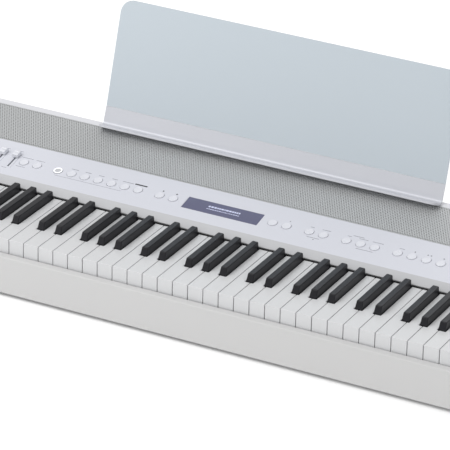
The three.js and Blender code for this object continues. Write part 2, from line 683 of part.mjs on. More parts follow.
function socket(x, width, height, depth) {
  return box(x - width / 2, x + width / 2, rearY - depth, rearY + 2, jackZ - height / 2, jackZ + height / 2);
}

function socketBlock(x, { width, depth }, holes) {
  const block = box(x - width / 2, x + width / 2, rearY - depth, rearY,
    jackZ - SOCKET_HEIGHT / 2, jackZ + SOCKET_HEIGHT / 2);
  return block.subtract(joined(holes));
}

// ---------------------------------------------------------------- music rest
const tongueY = rearY - WALL - 1.2 - TONGUE.thickness;
const restFootZ = onSlope(stripEnd)[1] + FIT
  + REST_THICKNESS * (Math.cos(REST_BAND_LEAN) + Math.sin(REST_BAND_LEAN));

function tonguePlaces() {
  return [REST_X - TONGUE.spacing / 2, REST_X + TONGUE.spacing / 2];
}

// A bent sheet: a ledge for the music, a short band that leans further back, and the tall plate.
function restSheet() {
  const up = (lean, length) => new THREE.Vector2(Math.sin(lean), Math.cos(lean)).multiplyScalar(length);
  const root = new THREE.Vector2(tongueY, restFootZ);
  const front = root.clone().add(new THREE.Vector2(-Math.cos(REST_BAND_LEAN), Math.sin(REST_BAND_LEAN))
    .multiplyScalar(REST_LEDGE_DEPTH));
  const crease = root.clone().add(up(REST_BAND_LEAN, REST_BAND_HEIGHT));
  const top = crease.clone().add(up(REST_PLATE_LEAN, REST_PLATE_HEIGHT));
  return { line: [front, root, crease, top], front, top };
}

function addRest() {
  const { line, front, top } = restSheet();
  const profile = sheetOutline(line.map((point) => [point.x, point.y]), REST_THICKNESS);
  const [x0, x1] = [REST_X - REST_WIDTH / 2, REST_X + REST_WIDTH / 2];
  const [low, high] = [restFootZ - 10, top.y];
  const backY = top.x + 10;
  const faceOutline = alongY([
    [x0, low], [x1, low], [x1, high, REST_TOP_RADIUS], [x0, high, REST_TOP_RADIUS],
  ], front.x - 10, backY);
  const planOutline = alongZ([
    [x0, front.x - 1, REST_LEDGE_RADIUS], [x1, front.x - 1, REST_LEDGE_RADIUS], [x1, backY], [x0, backY],
  ], low, high);
  const sheet = alongX(profile, x0, x1).intersect(faceOutline).intersect(planOutline);

  const stripTop = onSlope(stripEnd)[1];
  const tongues = tonguePlaces().flatMap((x) => [
    box(x - TONGUE.width / 2, x + TONGUE.width / 2, tongueY, tongueY + TONGUE.thickness,
      restFootZ - TONGUE.length, restFootZ + 1),
    box(x - TONGUE.width / 2 - 5, x + TONGUE.width / 2 + 5, tongueY, tongueY + TONGUE.thickness,
      stripTop + FIT, restFootZ + 1),
  ]);
  add('music_rest', joined([sheet, ...tongues]), MATERIALS.rest);
}

// ---------------------------------------------------------------- assembly
addKeys();
addAction();
addCase();
addControls();
addSound();
addElectronics();
addRest();

const restBack = restSheet().top.x + REST_THICKNESS * Math.cos(REST_PLATE_LEAN);
instrument.position.y = -(frontY + restBack) / 2;

const piano = new THREE.Group();
piano.add(instrument);

export default piano;
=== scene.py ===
"""A portable stage piano: keys, case, controls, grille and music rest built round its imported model."""

import math

import bmesh
import bpy
import numpy as np
from bpy.props import FloatProperty, FloatVectorProperty, PointerProperty
from mathutils import Matrix, Vector


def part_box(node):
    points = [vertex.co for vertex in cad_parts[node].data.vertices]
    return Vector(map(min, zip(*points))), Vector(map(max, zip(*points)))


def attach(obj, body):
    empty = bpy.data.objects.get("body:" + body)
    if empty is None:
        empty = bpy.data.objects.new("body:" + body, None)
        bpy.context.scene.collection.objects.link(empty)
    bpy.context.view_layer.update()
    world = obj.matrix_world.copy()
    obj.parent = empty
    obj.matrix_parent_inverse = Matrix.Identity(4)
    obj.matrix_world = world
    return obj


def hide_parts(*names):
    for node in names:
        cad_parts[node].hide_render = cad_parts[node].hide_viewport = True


bl_info = {
    "name": "Stage Piano",
    "version": (1, 0, 0),
    "blender": (4, 5, 0),
    "location": "3D View > Sidebar > Stage Piano",
    "description": "Builds the surfaces and finishes of a portable stage piano round its packed model",
    "category": "Add Mesh",
}

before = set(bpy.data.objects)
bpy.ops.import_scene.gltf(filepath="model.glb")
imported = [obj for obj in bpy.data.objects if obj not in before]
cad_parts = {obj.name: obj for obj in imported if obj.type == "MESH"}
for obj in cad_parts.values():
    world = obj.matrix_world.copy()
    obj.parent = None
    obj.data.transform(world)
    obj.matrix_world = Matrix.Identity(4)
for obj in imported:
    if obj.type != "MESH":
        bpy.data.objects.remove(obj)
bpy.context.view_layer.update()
MM = 0.001

# ---------------------------------------------------------------- places read from the frame


def low(node):
    """The lowest corner of a CAD node."""
    return np.array(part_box(node)[0])


def high(node):
    """The highest corner of a CAD node."""
    return np.array(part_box(node)[1])


def width(node):
    """A CAD node's width along X."""
    return high(node)[0] - low(node)[0]


def centre(node):
    """The middle of a CAD node's box."""
    return (low(node) + high(node)) / 2


LOW_WHITES = 23  # white keys below middle C
WHITES = 52
PITCH = (width("white_keys_low") - width("key_C_4")) / (LOW_WHITES - 1)
KEY_GAP = PITCH - width("key_C_4")
KEY_TOP = high("key_C_4")[2]
KEY_FRONT = low("key_C_4")[1]
KEY_FRONT_BOTTOM = low("key_C_4")[2]
TAIL_END = high("key_C_4")[1]
LIP_GAP = 1.5 * MM  # from the back of the visible key to the lip's foot
KEY_BACK = low("control_panel")[1] - LIP_GAP
BLACK_FRONT = low("key_C_sharp_4")[1]
BLACK_TOP = high("key_C_sharp_4")[2]
BLACK_BOTTOM = low("key_C_sharp_4")[2]
FLOOR_OF_CASE = low("keyslip")[2]

# The panel, the grille and the rear strip lie in one sloping plane. A place on it is X, s up the
# slope from the panel's front edge, and n above it.
LIP_RISE = 10.5 * MM
SLOPE_RUN = high("speaker_grille")[1:] - high("control_panel")[1:]
SLOPE = math.atan2(SLOPE_RUN[1], SLOPE_RUN[0])
PANEL_BACK = high("control_panel")[1:]
PANEL_DEPTH = (PANEL_BACK[1] - KEY_TOP - LIP_RISE) / math.sin(SLOPE)
UP_SLOPE = np.array([math.cos(SLOPE), math.sin(SLOPE)])
OFF_SLOPE = np.array([-math.sin(SLOPE), math.cos(SLOPE)])
PANEL_FRONT = PANEL_BACK - PANEL_DEPTH * UP_SLOPE
CONTROL_ROW = float((centre("display_window")[1:] - PANEL_FRONT) @ UP_SLOPE)


def on_slope(points):
    """Moves points (X, s, n) of the sloping plane to the frame: X stays, s and n turn by the slope."""
    points = np.asarray(points, float)
    yz = PANEL_FRONT + points[..., 1:2] * UP_SLOPE + points[..., 2:3] * OFF_SLOPE
    return np.concatenate([points[..., :1], yz], axis=-1)


# ---------------------------------------------------------------- surfaces
# A surface is (points, quads, caps): an array of points, an array of four indices for each quad, and
# a list of index arrays for faces with more corners.


def lofted(rings, closed=True, capped=True):
    """Skin over rings of points: quad (i, j) joins points j and j + 1 of ring i to those of ring i + 1."""
    count, points = rings.shape[:2]
    grid = np.arange(count * points).reshape(count, points)
    near, far = grid[:-1], grid[1:]
    quads = np.stack([near, np.roll(near, -1, 1), np.roll(far, -1, 1), far], axis=-1)
    if not closed:
        quads = quads[:, :-1]
    caps = [grid[0][::-1], grid[-1]] if capped else []
    return rings.reshape(-1, 3), quads.reshape(-1, 4), caps


def together(surfaces):
    """One surface that holds several, with each one's indices moved past the points before it."""
    points, quads, caps, start = [], [], [], 0
    for surface in surfaces:
        points.append(surface[0])
        quads.append(surface[1] + start)
        caps.extend(cap + start for cap in surface[2])
        start += len(surface[0])
    return np.concatenate(points), np.concatenate(quads), caps


def moved(surface, change):
    """A surface whose points have been put through a function."""
    return change(surface[0]), surface[1], surface[2]


def rounded_outline(corners, radii, steps=4):
    """Points and outward normals of a closed outline that runs anticlockwise.

    At each corner the normal turns evenly from that of one side to that of the next, and a point is
    the corner circle's centre plus the radius times the normal, or minus it where the corner is hollow.
    """
    corners = np.asarray(corners, float)
    radii = np.broadcast_to(np.asarray(radii, float), len(corners))[:, None, None]
    before = corners - np.roll(corners, 1, axis=0)
    after = np.roll(corners, -1, axis=0) - corners
    before /= np.linalg.norm(before, axis=1, keepdims=True)
    after /= np.linalg.norm(after, axis=1, keepdims=True)
    first = np.stack([before[:, 1], -before[:, 0]], axis=1)[:, None]
    last = np.stack([after[:, 1], -after[:, 0]], axis=1)[:, None]
    cosine = (first * last).sum(-1, keepdims=True)
    turn = np.arccos(np.clip(cosine, -1, 1))
    crossing = before[:, 0] * after[:, 1] - before[:, 1] * after[:, 0]
    side = np.where(crossing >= 0, 1.0, -1.0)[:, None, None]
    share = np.linspace(0, 1, steps + 1)[None, :, None]
    normals = (np.sin((1 - share) * turn) * first + np.sin(share * turn) * last) / np.sin(turn)
    centres = corners[:, None] - side * radii * (first + last) / (1 + cosine)
    points = centres + side * radii * normals
    return points.reshape(-1, 2), normals.reshape(-1, 2)


def rectangle(x0, x1, y0, y1):
    """A rectangle's corners, anticlockwise."""
    return [[x0, y0], [x1, y0], [x1, y1], [x0, y1]]


def edge_levels(start, end, start_edge, end_edge, steps=3):
    """Heights and insets from one face of a slab to the other: a quarter circle at each edge, where the
    inset is edge * (1 - cos t) and the height is short of the face by edge * (1 - sin t)."""
    t = np.linspace(0, math.pi / 2, steps + 1)
    first = np.stack([start + start_edge * (1 - np.sin(t[::-1])), start_edge * (1 - np.cos(t[::-1]))], 1)
    last = np.stack([end - end_edge * (1 - np.sin(t)), end_edge * (1 - np.cos(t))], 1)
    return np.concatenate([first, last])


def slab(outline, levels, axis):
    """A closed slab: the outline is carried along an axis, and drawn in along its normals at each level.
    Along Z the outline is (X, Y), along X it is (Y, Z), and along Y it is (X, Z)."""
    points, normals = outline
    heights, insets = levels[:, 0], levels[:, 1]
    flat = points[None] - insets[:, None, None] * normals[None]
    along = np.broadcast_to(heights[:, None], flat.shape[:2])
    order = {
        "x": (along, flat[..., 0], flat[..., 1]),
        "y": (flat[..., 0], along, flat[..., 1]),
        "z": (flat[..., 0], flat[..., 1], along),
    }[axis]
    return lofted(np.stack(order, axis=-1))


def rounded_bar(x0, x1, y0, y1, start, end, radius, edge, axis="z", steps=2):
    """A slab over a rectangle whose corners are rounded and whose edges are broken."""
    outline = rounded_outline(rectangle(x0, x1, y0, y1), radius, steps)
    return slab(outline, edge_levels(start, end, edge, edge, 1), axis)


def turned(profile, x, y, sides=40):
    """A turned solid about an upright line: each (radius, height) of the profile becomes a circle."""
    profile = np.asarray(profile, float)
    angle = np.linspace(0, 2 * math.pi, sides, endpoint=False)
    radius = profile[:, :1]
    rings = np.stack([
        x + radius * np.cos(angle), y + radius * np.sin(angle),
        np.broadcast_to(profile[:, 1:], (len(profile), sides)),
    ], axis=-1)
    return lofted(rings)


def turned_ring(profile, x, y, sides=40):
    """A turned solid whose profile closes on itself: quads join its last circle to its first."""
    points, quads, _ = turned(profile, x, y, sides)
    first = np.arange(sides)
    last = first + (len(profile) - 1) * sides
    closing = np.stack([last, np.roll(last, -1), np.roll(first, -1), first], axis=-1)
    return points, np.concatenate([quads, closing]), []


def sheet_grid(columns, rows):
    """The quads of an open sheet over rows of points, facing up where X runs to the right."""
    grid = np.arange(rows * columns).reshape(rows, columns)
    quads = np.stack([grid[:-1, :-1], grid[:-1, 1:], grid[1:, 1:], grid[1:, :-1]], axis=-1)
    return quads.reshape(-1, 4)


def smooth_line(points, steps=6):
    """A smooth line through points: each stretch is a cubic between two of them whose slopes there are
    half the way from the point before to the point after."""
    points = np.asarray(points, float)
    ends = np.concatenate([2 * points[:1] - points[1:2], points, 2 * points[-1:] - points[-2:-1]])
    p0, p1, p2, p3 = (ends[i:len(points) - 1 + i, None] for i in range(4))
    t = np.linspace(0, 1, steps, endpoint=False)[None, :, None]
    line = 0.5 * (2 * p1 + (p2 - p0) * t + (2 * p0 - 5 * p1 + 4 * p2 - p3) * t**2
                  + (3 * p1 - p0 - 3 * p2 + p3) * t**3)
    return np.concatenate([line.reshape(-1, points.shape[1]), points[-1:]])


def new_piece(name, surface, finish, body, replaces=(), closed=True, sharp=32.0):
    """Makes an object of a surface, with its faces outward, and gives it its finish and body."""
    points, quads, caps = surface
    polygons = [quads.ravel(), *caps]
    sizes = np.concatenate([np.full(len(quads), 4), [len(cap) for cap in caps]]).astype(np.int32)
    mesh = bpy.data.meshes.new(name)
    mesh.vertices.add(len(points))
    mesh.vertices.foreach_set("co", np.ascontiguousarray(points, np.float32).ravel())
    mesh.loops.add(int(sizes.sum()))
    mesh.loops.foreach_set("vertex_index", np.concatenate(polygons).astype(np.int32))
    mesh.polygons.add(len(sizes))
    mesh.polygons.foreach_set("loop_start", np.concatenate([[0], np.cumsum(sizes)[:-1]]).astype(np.int32))
    mesh.update(calc_edges=True)
    mesh.validate()
    weld = bmesh.new()
    weld.from_mesh(mesh)
    bmesh.ops.remove_doubles(weld, verts=weld.verts, dist=0.002 * MM)
    if closed:
        bmesh.ops.recalc_face_normals(weld, faces=weld.faces)
    weld.to_mesh(mesh)
    weld.free()
    mesh.shade_smooth()
    mesh.set_sharp_from_angle(angle=math.radians(sharp))
    piece = bpy.data.objects.new(name, mesh)
    bpy.context.scene.collection.objects.link(piece)
    piece.data.materials.append(look_of(finish))
    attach(piece, body)
    if replaces:
        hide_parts(*replaces)
    if closed:
        shading = piece.modifiers.new("even_shading", "WEIGHTED_NORMAL")
        shading.keep_sharp = True
    return piece


def break_edges(piece, edge):
    """Rounds off every edge where a piece turns by more than 40 degrees."""
    bevel = piece.modifiers.new("edges", "BEVEL")
    bevel.width = edge
    bevel.segments = 3
    bevel.limit_method = "ANGLE"
    bevel.angle_limit = math.radians(40)
    bevel.harden_normals = True


def thicken(piece, thickness, edge):
    """Gives a sheet its thickness, inward from its face, and breaks its edges."""
    solid = piece.modifiers.new("thickness", "SOLIDIFY")
    solid.thickness = thickness
    solid.offset = -1
    break_edges(piece, edge)


# ---------------------------------------------------------------- shared effects


def new_group(name, inputs, outputs):
    """An empty shader group with named sockets: inputs are (kind, name, default), outputs (kind, name)."""
    group = bpy.data.node_groups.new(name, "ShaderNodeTree")
    for kind, socket, default in inputs:
        made = group.interface.new_socket(socket, in_out="INPUT", socket_type=f"NodeSocket{kind}")
        made.default_value = default
    for kind, socket in outputs:
        group.interface.new_socket(socket, in_out="OUTPUT", socket_type=f"NodeSocket{kind}")
    return group, group.nodes.new("NodeGroupInput"), group.nodes.new("NodeGroupOutput")


def add_noise(group, vector, scale, detail):
    """A noise texture in a group; scale is a socket or a number."""
    noise = group.nodes.new("ShaderNodeTexNoise")
    noise.inputs["Detail"].default_value = detail
    group.links.new(vector, noise.inputs["Vector"])
    if isinstance(scale, (int, float)):
        noise.inputs["Scale"].default_value = scale
    else:
        group.links.new(scale, noise.inputs["Scale"])
    return noise.outputs["Fac"]


def add_spread(group, fac, middle, spread):
    """The value middle + (fac - 0.5) * spread."""
    centred = group.nodes.new("ShaderNodeMath")
    centred.operation = "SUBTRACT"
    centred.inputs[1].default_value = 0.5
    group.links.new(fac, centred.inputs[0])
    scaled = group.nodes.new("ShaderNodeMath")
    scaled.operation = "MULTIPLY_ADD"
    group.links.new(centred.outputs[0], scaled.inputs[0])
    group.links.new(spread, scaled.inputs[1])
    group.links.new(middle, scaled.inputs[2])
    return scaled.outputs[0]


def add_tint(group, fac, colour, amount):
    """The colour, darkened by up to the amount where the factor is high."""
    share = group.nodes.new("ShaderNodeMath")
    share.operation = "MULTIPLY"
    group.links.new(fac, share.inputs[0])
    group.links.new(amount, share.inputs[1])
    tint = group.nodes.new("ShaderNodeMix")
    tint.data_type = "RGBA"
    tint.blend_type = "MIX"
    tint.inputs["B"].default_value = (0, 0, 0, 1)
    group.links.new(share.outputs[0], tint.inputs["Factor"])
    group.links.new(colour, tint.inputs["A"])
    return tint.outputs["Result"]


def add_bump(group, fac, height):
    """A normal from a height factor; the height socket is the relief in metres."""
    bump = group.nodes.new("ShaderNodeBump")
    bump.inputs["Strength"].default_value = 1.0
    group.links.new(fac, bump.inputs["Height"])
    group.links.new(height, bump.inputs["Distance"])
    return bump.outputs["Normal"]


def surface_group(name, stretched):
    """Mottled colour, uneven roughness and a fine relief. The stretched one draws the relief out along
    one axis, as a brushed or grained surface has it."""
    inputs = [
        ("Color", "Colour", (0.8, 0.8, 0.8, 1)),
        ("Float", "Mottling", 0.03), ("Float", "Mottling Scale", 9.0),
        ("Float", "Roughness", 0.4), ("Float", "Roughness Spread", 0.08),
        ("Float", "Relief", 0.00002), ("Float", "Relief Scale", 1500.0),
    ]
    if stretched:
        inputs.append(("Vector", "Stretch", (1, 1, 1)))
    outputs = [("Color", "Colour"), ("Float", "Roughness"), ("Vector", "Normal")]
    group, given, result = new_group(name, inputs, outputs)
    place = group.nodes.new("ShaderNodeTexCoord").outputs["Object"]
    fine_place = place
    if stretched:
        stretch = group.nodes.new("ShaderNodeVectorMath")
        stretch.operation = "MULTIPLY"
        group.links.new(place, stretch.inputs[0])
        group.links.new(given.outputs["Stretch"], stretch.inputs[1])
        fine_place = stretch.outputs["Vector"]
    broad = add_noise(group, place, given.outputs["Mottling Scale"], 3.0)
    fine = add_noise(group, fine_place, given.outputs["Relief Scale"], 2.0)
    if stretched:
        grain = group.nodes.new("ShaderNodeMath")
        grain.operation = "MULTIPLY"
        group.links.new(broad, grain.inputs[0])
        group.links.new(fine, grain.inputs[1])
        shade = grain.outputs[0]
    else:
        shade = broad
    group.links.new(add_tint(group, shade, given.outputs["Colour"], given.outputs["Mottling"]),
                    result.inputs["Colour"])
    group.links.new(add_spread(group, fine if stretched else broad, given.outputs["Roughness"],
                               given.outputs["Roughness Spread"]), result.inputs["Roughness"])
    group.links.new(add_bump(group, fine, given.outputs["Relief"]), result.inputs["Normal"])
    return group


def effect(name):
    """The shared group of that name, built the first time that it is asked for."""
    return bpy.data.node_groups.get(name) or surface_group(name, name == "grained_surface")


EFFECT_INPUTS = ("Mottling", "Mottling Scale", "Roughness", "Roughness Spread", "Relief", "Relief Scale")


def finished(name, tone, values, stretch=None, shader=None):
    """A material: a Principled shader whose colour, roughness and normal come from a shared group."""
    material = bpy.data.materials.get(name)
    if material:
        return material
    material = bpy.data.materials.new(name)
    material.use_nodes = True
    nodes, links = material.node_tree.nodes, material.node_tree.links
    principled = nodes["Principled BSDF"]
    group = nodes.new("ShaderNodeGroup")
    group.node_tree = effect("grained_surface" if stretch else "moulded_surface")
    group.inputs["Colour"].default_value = colour(tone)
    for socket, value in zip(EFFECT_INPUTS, values):
        group.inputs[socket].default_value = value
    if stretch:
        group.inputs["Stretch"].default_value = stretch
    links.new(group.outputs["Colour"], principled.inputs["Base Color"])
    links.new(group.outputs["Roughness"], principled.inputs["Roughness"])
    links.new(group.outputs["Normal"], principled.inputs["Normal"])
    for socket, value in (shader or {}).items():
        principled.inputs[socket].default_value = value
    return material


def colour(values):
    """A colour property as a socket value."""
    return (*values[:3], 1.0)


# ---------------------------------------------------------------- finishes
# A colour is the name of a colour setting or the colour itself. The next six values go to the shared
# effect: the mottling and its scale, the roughness and its spread, and the relief in metres and its
# scale. A stretch makes the finish a grained one. The shader's own values are set on its sockets.

FINISHES = {
    # satin white paint
    "case_paint": (
        "case", 0.02, 6.0, 0.38, 0.06, 12e-6, 1400.0,
        {"Specular IOR Level": 0.45, "Coat Weight": 0.08, "Coat Roughness": 0.3}),
    # slightly cooler satin paint
    "panel_paint": ("panel", 0.015, 7.0, 0.42, 0.05, 10e-6, 1600.0, {"Specular IOR Level": 0.4}),
    # satin white case paint, darkened as painted shade on the front face
    "keyslip_painted_shade": ("keyslip", 0.02, 5.0, 0.45, 0.05, 12e-6, 1400.0, {"Specular IOR Level": 0.4}),
    # the panel's satin paint, darkened as painted shade on the lip's steep face
    "lip_painted_shade": ("lip", 0.015, 7.0, 0.45, 0.05, 10e-6, 1600.0, {"Specular IOR Level": 0.35}),
    # smooth, with a faint ivory-like grain
    "white_key_plastic": (
        "white_keys", 0.05, 30.0, 0.3, 0.12, 10e-6, 900.0, (1.0, 0.08, 1.0),
        {"Specular IOR Level": 0.5}),
    # charcoal satin with a fine lengthwise grain
    "black_key_plastic": (
        "black_keys", 0.4, 60.0, 0.34, 0.2, 40e-6, 1100.0, (1.0, 0.06, 1.0),
        {"Specular IOR Level": 0.3}),
    # a little glossier than the panel
    "button_plastic": (
        "buttons", 0.01, 50.0, 0.28, 0.05, 6e-6, 2200.0,
        {"Specular IOR Level": 0.5, "Coat Weight": 0.1, "Coat Roughness": 0.15}),
    # greyish plastic in the middle of the lit button
    "lamp_plastic": ("lamp", 0.02, 60.0, 0.35, 0.05, 6e-6, 2200.0),
    # the lit ring round a button
    "ring_light": (
        (0.95, 0.96, 1.0), 0.02, 200.0, 0.35, 0.05, 1e-6, 600.0,
        {"Emission Color": (0.97, 0.98, 1, 1), "Emission Strength": 0.5}),
    # silver-grey paint on perforated steel
    "grille_metal": ("grille", 0.04, 14.0, 0.4, 0.1, 10e-6, 1800.0, {"Metallic": 0.25}),
    # satin painted sheet with a very fine grain, lighter and less blue than the plate as a painted highlight
    # of the bent band
    "ledge_metal_painted_highlight": (
        "ledge", 0.03, 4.0, 0.42, 0.06, 2e-6, 1500.0, (0.1, 1.0, 1.0),
        {"Metallic": 0.2, "Specular IOR Level": 0.35}),
    # the same sheet in its own bluer colour, without the ledge's painted highlight
    "plate_metal": (
        "rest", 0.03, 4.0, 0.42, 0.06, 2e-6, 1500.0, (0.1, 1.0, 1.0),
        {"Metallic": 0.2, "Specular IOR Level": 0.35}),
    # finely textured black plastic
    "dark_plastic": ((0.022, 0.022, 0.024), 0.2, 25.0, 0.55, 0.12, 80e-6, 900.0),
    # matte rubber
    "foot_rubber": ((0.025, 0.025, 0.026), 0.25, 60.0, 0.85, 0.1, 100e-6, 700.0),
    # short-fibred felt
    "black_felt": (
        (0.012, 0.012, 0.014), 0.45, 220.0, 0.95, 0.05, 600e-6, 1300.0,
        {"Sheen Weight": 0.5, "Sheen Roughness": 0.6}),
    # the same, red
    "red_felt": (
        (0.25, 0.02, 0.03), 0.45, 220.0, 0.95, 0.05, 600e-6, 1300.0,
        {"Sheen Weight": 0.5, "Sheen Roughness": 0.6}),
    # zinc-plated sheet, brushed along X
    "plated_steel": (
        (0.42, 0.42, 0.43), 0.2, 20.0, 0.35, 0.25, 30e-6, 700.0, (0.03, 1.0, 1.0),
        {"Metallic": 1.0}),
    # nickel of sockets and screws
    "bright_metal": ((0.62, 0.61, 0.58), 0.08, 120.0, 0.22, 0.1, 10e-6, 1500.0, {"Metallic": 1.0}),
    # green circuit board
    "board_resin": ((0.02, 0.13, 0.05), 0.5, 300.0, 0.4, 0.2, 100e-6, 500.0),
    # black paper of a loudspeaker cone
    "cone_paper": ((0.02, 0.02, 0.021), 0.3, 90.0, 0.8, 0.1, 200e-6, 500.0),
    # grey print on the panel
    "mark_ink": ("marks", 0.05, 80.0, 0.5, 0.05, 4e-6, 2000.0),
    # black print on the panel
    "mark_ink_dark": ((0.03, 0.03, 0.035), 0.1, 80.0, 0.5, 0.05, 4e-6, 2000.0),
    # glossy window over a violet liquid crystal
    "display_glass": (
        "display", 0.12, 12.0, 0.12, 0.04, 1e-6, 600.0,
        {"Specular IOR Level": 0.5, "Coat Weight": 0.4, "Coat Roughness": 0.05}),
    # pale light of the figures in the display
    "readout_light": (
        (0.55, 0.58, 0.75), 0.1, 400.0, 0.3, 0.05, 1e-6, 600.0,
        {"Emission Color": (0.5, 0.53, 0.75, 1), "Emission Strength": 0.25}),
}


def look_of(name):
    """The material of a finish, made the first time that it is asked for."""
    tone, *values = FINISHES[name]
    extra = values.pop() if isinstance(values[-1], dict) else {}
    stretch = values.pop() if isinstance(values[-1], tuple) else None
    if isinstance(tone, str):
        tone = getattr(bpy.context.scene.piano_colours, tone)
    return finished(name, tone, values, stretch, extra)


# ---------------------------------------------------------------- keys
SHARP_NAMES = ("C_sharp", "D_sharp", "F_sharp", "G_sharp", "A_sharp")
NOTE_NAMES = ("C", "C_sharp", "D", "D_sharp", "E", "F", "F_sharp", "G", "G_sharp", "A", "A_sharp", "B")
FIRST_NOTE, LAST_NOTE = 21, 108  # numbers in which middle C is 60
FIRST_SINGLE, LAST_SINGLE = 60, 71  # the octave whose keys are bodies of their own
HAMMER_END = TAIL_END - 11 * MM  # where a key's tail meets its hammer
HIDDEN_CORNER, HIDDEN_EDGE = 0.4 * MM, 0.3 * MM  # of tails and rails
BLACK_TAIL = 9.2 * MM  # width of a black key's tail
RAIL_DEPTH = 10 * MM


def list_keys():
    """Every key as a dict: its body, whether it is black, the joint at its left and its middle line."""
    keys, whites = [], 0
    middle_c = (LOW_WHITES - WHITES / 2) * PITCH
    before = {"C_sharp": 1, "D_sharp": 2, "F_sharp": 4, "G_sharp": 5, "A_sharp": 6}
    shift = {name: centre(f"key_{name}_4")[0] - middle_c - before[name] * PITCH for name in SHARP_NAMES}
    for note in range(FIRST_NOTE, LAST_NOTE + 1):
        name = NOTE_NAMES[note % len(NOTE_NAMES)]
        black = name in SHARP_NAMES
        left = (whites - WHITES / 2) * PITCH
        kind = "black" if black else "white"
        body = f"key_{name}_4"
        if note < FIRST_SINGLE:
            body = f"{kind}_keys_low"
        elif note > LAST_SINGLE:
            body = f"{kind}_keys_high"
        middle = left + shift[name] if black else left + PITCH / 2
        keys.append({"body": body, "black": black, "left": left, "middle": middle})
        whites += not black
    return keys


def white_key(keys, index, settings):
    """One white key, as outlines stacked from its top down: the plan is notched beside black keys and
    drawn in at the top along a quarter circle. Under the plate every point behind the front wall moves
    forward to the wall's back, which leaves the front hanging. The hidden tail is a slab of its own."""
    key = keys[index]
    x0, x1 = key["left"] + KEY_GAP / 2, key["left"] + PITCH - KEY_GAP / 2
    side_room = width("key_C_sharp_4") / 2 + settings.side_gap
    below = keys[index - 1] if index > 0 else None
    above = keys[index + 1] if index + 1 < len(keys) else None
    tail_x0 = below["middle"] + side_room if below and below["black"] else x0
    tail_x1 = above["middle"] - side_room if above and above["black"] else x1
    notch = BLACK_FRONT - settings.front_gap
    corners = [[x0, KEY_FRONT], [x1, KEY_FRONT]]
    if tail_x1 < x1:
        corners += [[x1, notch], [tail_x1, notch]]
    corners += [[tail_x1, KEY_BACK], [tail_x0, KEY_BACK]]
    if tail_x0 > x0:
        corners += [[tail_x0, notch], [x0, notch]]
    edge = settings.edge
    outline, normals = rounded_outline(corners, settings.corner)
    t = np.linspace(math.pi / 2, 0, 4)[:, None, None]
    top = outline - edge * (1 - np.cos(t)) * normals
    underside = KEY_TOP - settings.plate
    wall = outline.copy()
    wall[:, 1] = np.minimum(wall[:, 1], KEY_FRONT + settings.front_wall)
    plans = [*top, outline, wall, wall]
    levels = [*(KEY_TOP - edge * (1 - np.sin(t[:, 0, 0]))), underside, underside, KEY_FRONT_BOTTOM]
    rings = [np.column_stack([plan, np.full(len(plan), z)]) for plan, z in zip(plans, levels)]
    key_body = lofted(np.stack(rings))
    tail = rounded_bar(tail_x0, tail_x1, KEY_BACK - 25 * MM, HAMMER_END, KEY_TOP - 22 * MM, KEY_TOP - 8 * MM,
                       HIDDEN_CORNER, HIDDEN_EDGE)
    return together([key_body, tail])


def black_key(key, settings):
    """One black key, as outlines stacked from its foot to its top.

    With u from 0 at the white keys' tops to 1 at its own top, the half width is that of the foot to
    that of the top in a straight line, plus a flare that dies out as exp(-height / 1 mm), and the front
    leans back by the slope times u. The last levels draw it in along a quarter circle.
    """
    height = BLACK_TOP - KEY_TOP
    foot, top = width("key_C_sharp_4") / 2 - settings.flare, settings.black_top_width / 2
    edge = settings.black_edge
    u = np.concatenate([[-1.1], np.linspace(0, 1, 8)]) * (1 - edge / height)
    rise = np.maximum(u, 0)
    flare = settings.flare * np.exp(-rise * height / MM)
    half = foot + (top - foot) * rise + flare
    lean = settings.black_slope * rise**0.9 + settings.flare - flare
    t = np.linspace(0, math.pi / 2, 5)[1:]
    half = np.concatenate([half, half[-1] - edge * (1 - np.cos(t))])
    lean = np.concatenate([lean, lean[-1] + 1.5 * edge * (1 - np.cos(t))])
    heights = np.concatenate([u * height, height - edge * (1 - np.sin(t))])
    back = KEY_BACK - 1 * MM
    rings = []
    for z, w, front in zip(heights, half, lean):
        plan = rectangle(key["middle"] - w, key["middle"] + w, BLACK_FRONT + front, back)
        points, _ = rounded_outline(plan, [1.3 * MM, 1.3 * MM, 0.4 * MM, 0.4 * MM], 4)
        rings.append(np.column_stack([points, np.full(len(points), KEY_TOP + z)]))
    body = lofted(np.stack(rings))
    tail_x0, tail_x1 = key["middle"] - BLACK_TAIL / 2, key["middle"] + BLACK_TAIL / 2
    tail = rounded_bar(tail_x0, tail_x1, KEY_BACK - 14 * MM, HAMMER_END, BLACK_BOTTOM, KEY_TOP - 11 * MM,
                       HIDDEN_CORNER, HIDDEN_EDGE)
    return together([body, tail])


def joining_rail(bank, black):
    """The hidden rail that joins the keys of a bank."""
    back, bottom, top = TAIL_END - 46 * MM, KEY_TOP - 8.5 * MM, KEY_TOP - 3 * MM
    if black:
        back, bottom, top = TAIL_END - 22 * MM, BLACK_BOTTOM, BLACK_BOTTOM + 4.5 * MM
    return rounded_bar(bank[0]["middle"], bank[-1]["middle"], back - RAIL_DEPTH, back, bottom, top,
                       HIDDEN_CORNER, HIDDEN_EDGE, steps=1)


def build_keys(black, settings, finish):
    """Makes one piece for each body of white or of black keys."""
    keys = list_keys()
    chosen = [i for i, key in enumerate(keys) if key["black"] == black]
    for body in dict.fromkeys(keys[i]["body"] for i in chosen):
        members = [i for i in chosen if keys[i]["body"] == body]
        shapes = [black_key(keys[i], settings) if black else white_key(keys, i, settings) for i in members]
        if len(members) > 1:
            shapes.append(joining_rail([keys[i] for i in members], black))
        new_piece(f"{body}_surface", together(shapes), finish, body, [body], sharp=40.0)


class PIANO_OT_white_keys(bpy.types.Operator):
    """Make the white keys"""

    bl_idname = "piano.white_keys"
    bl_label = "White Keys"

    def execute(self, context):
        build_keys(False, context.scene.piano_keys, "white_key_plastic")
        return {"FINISHED"}


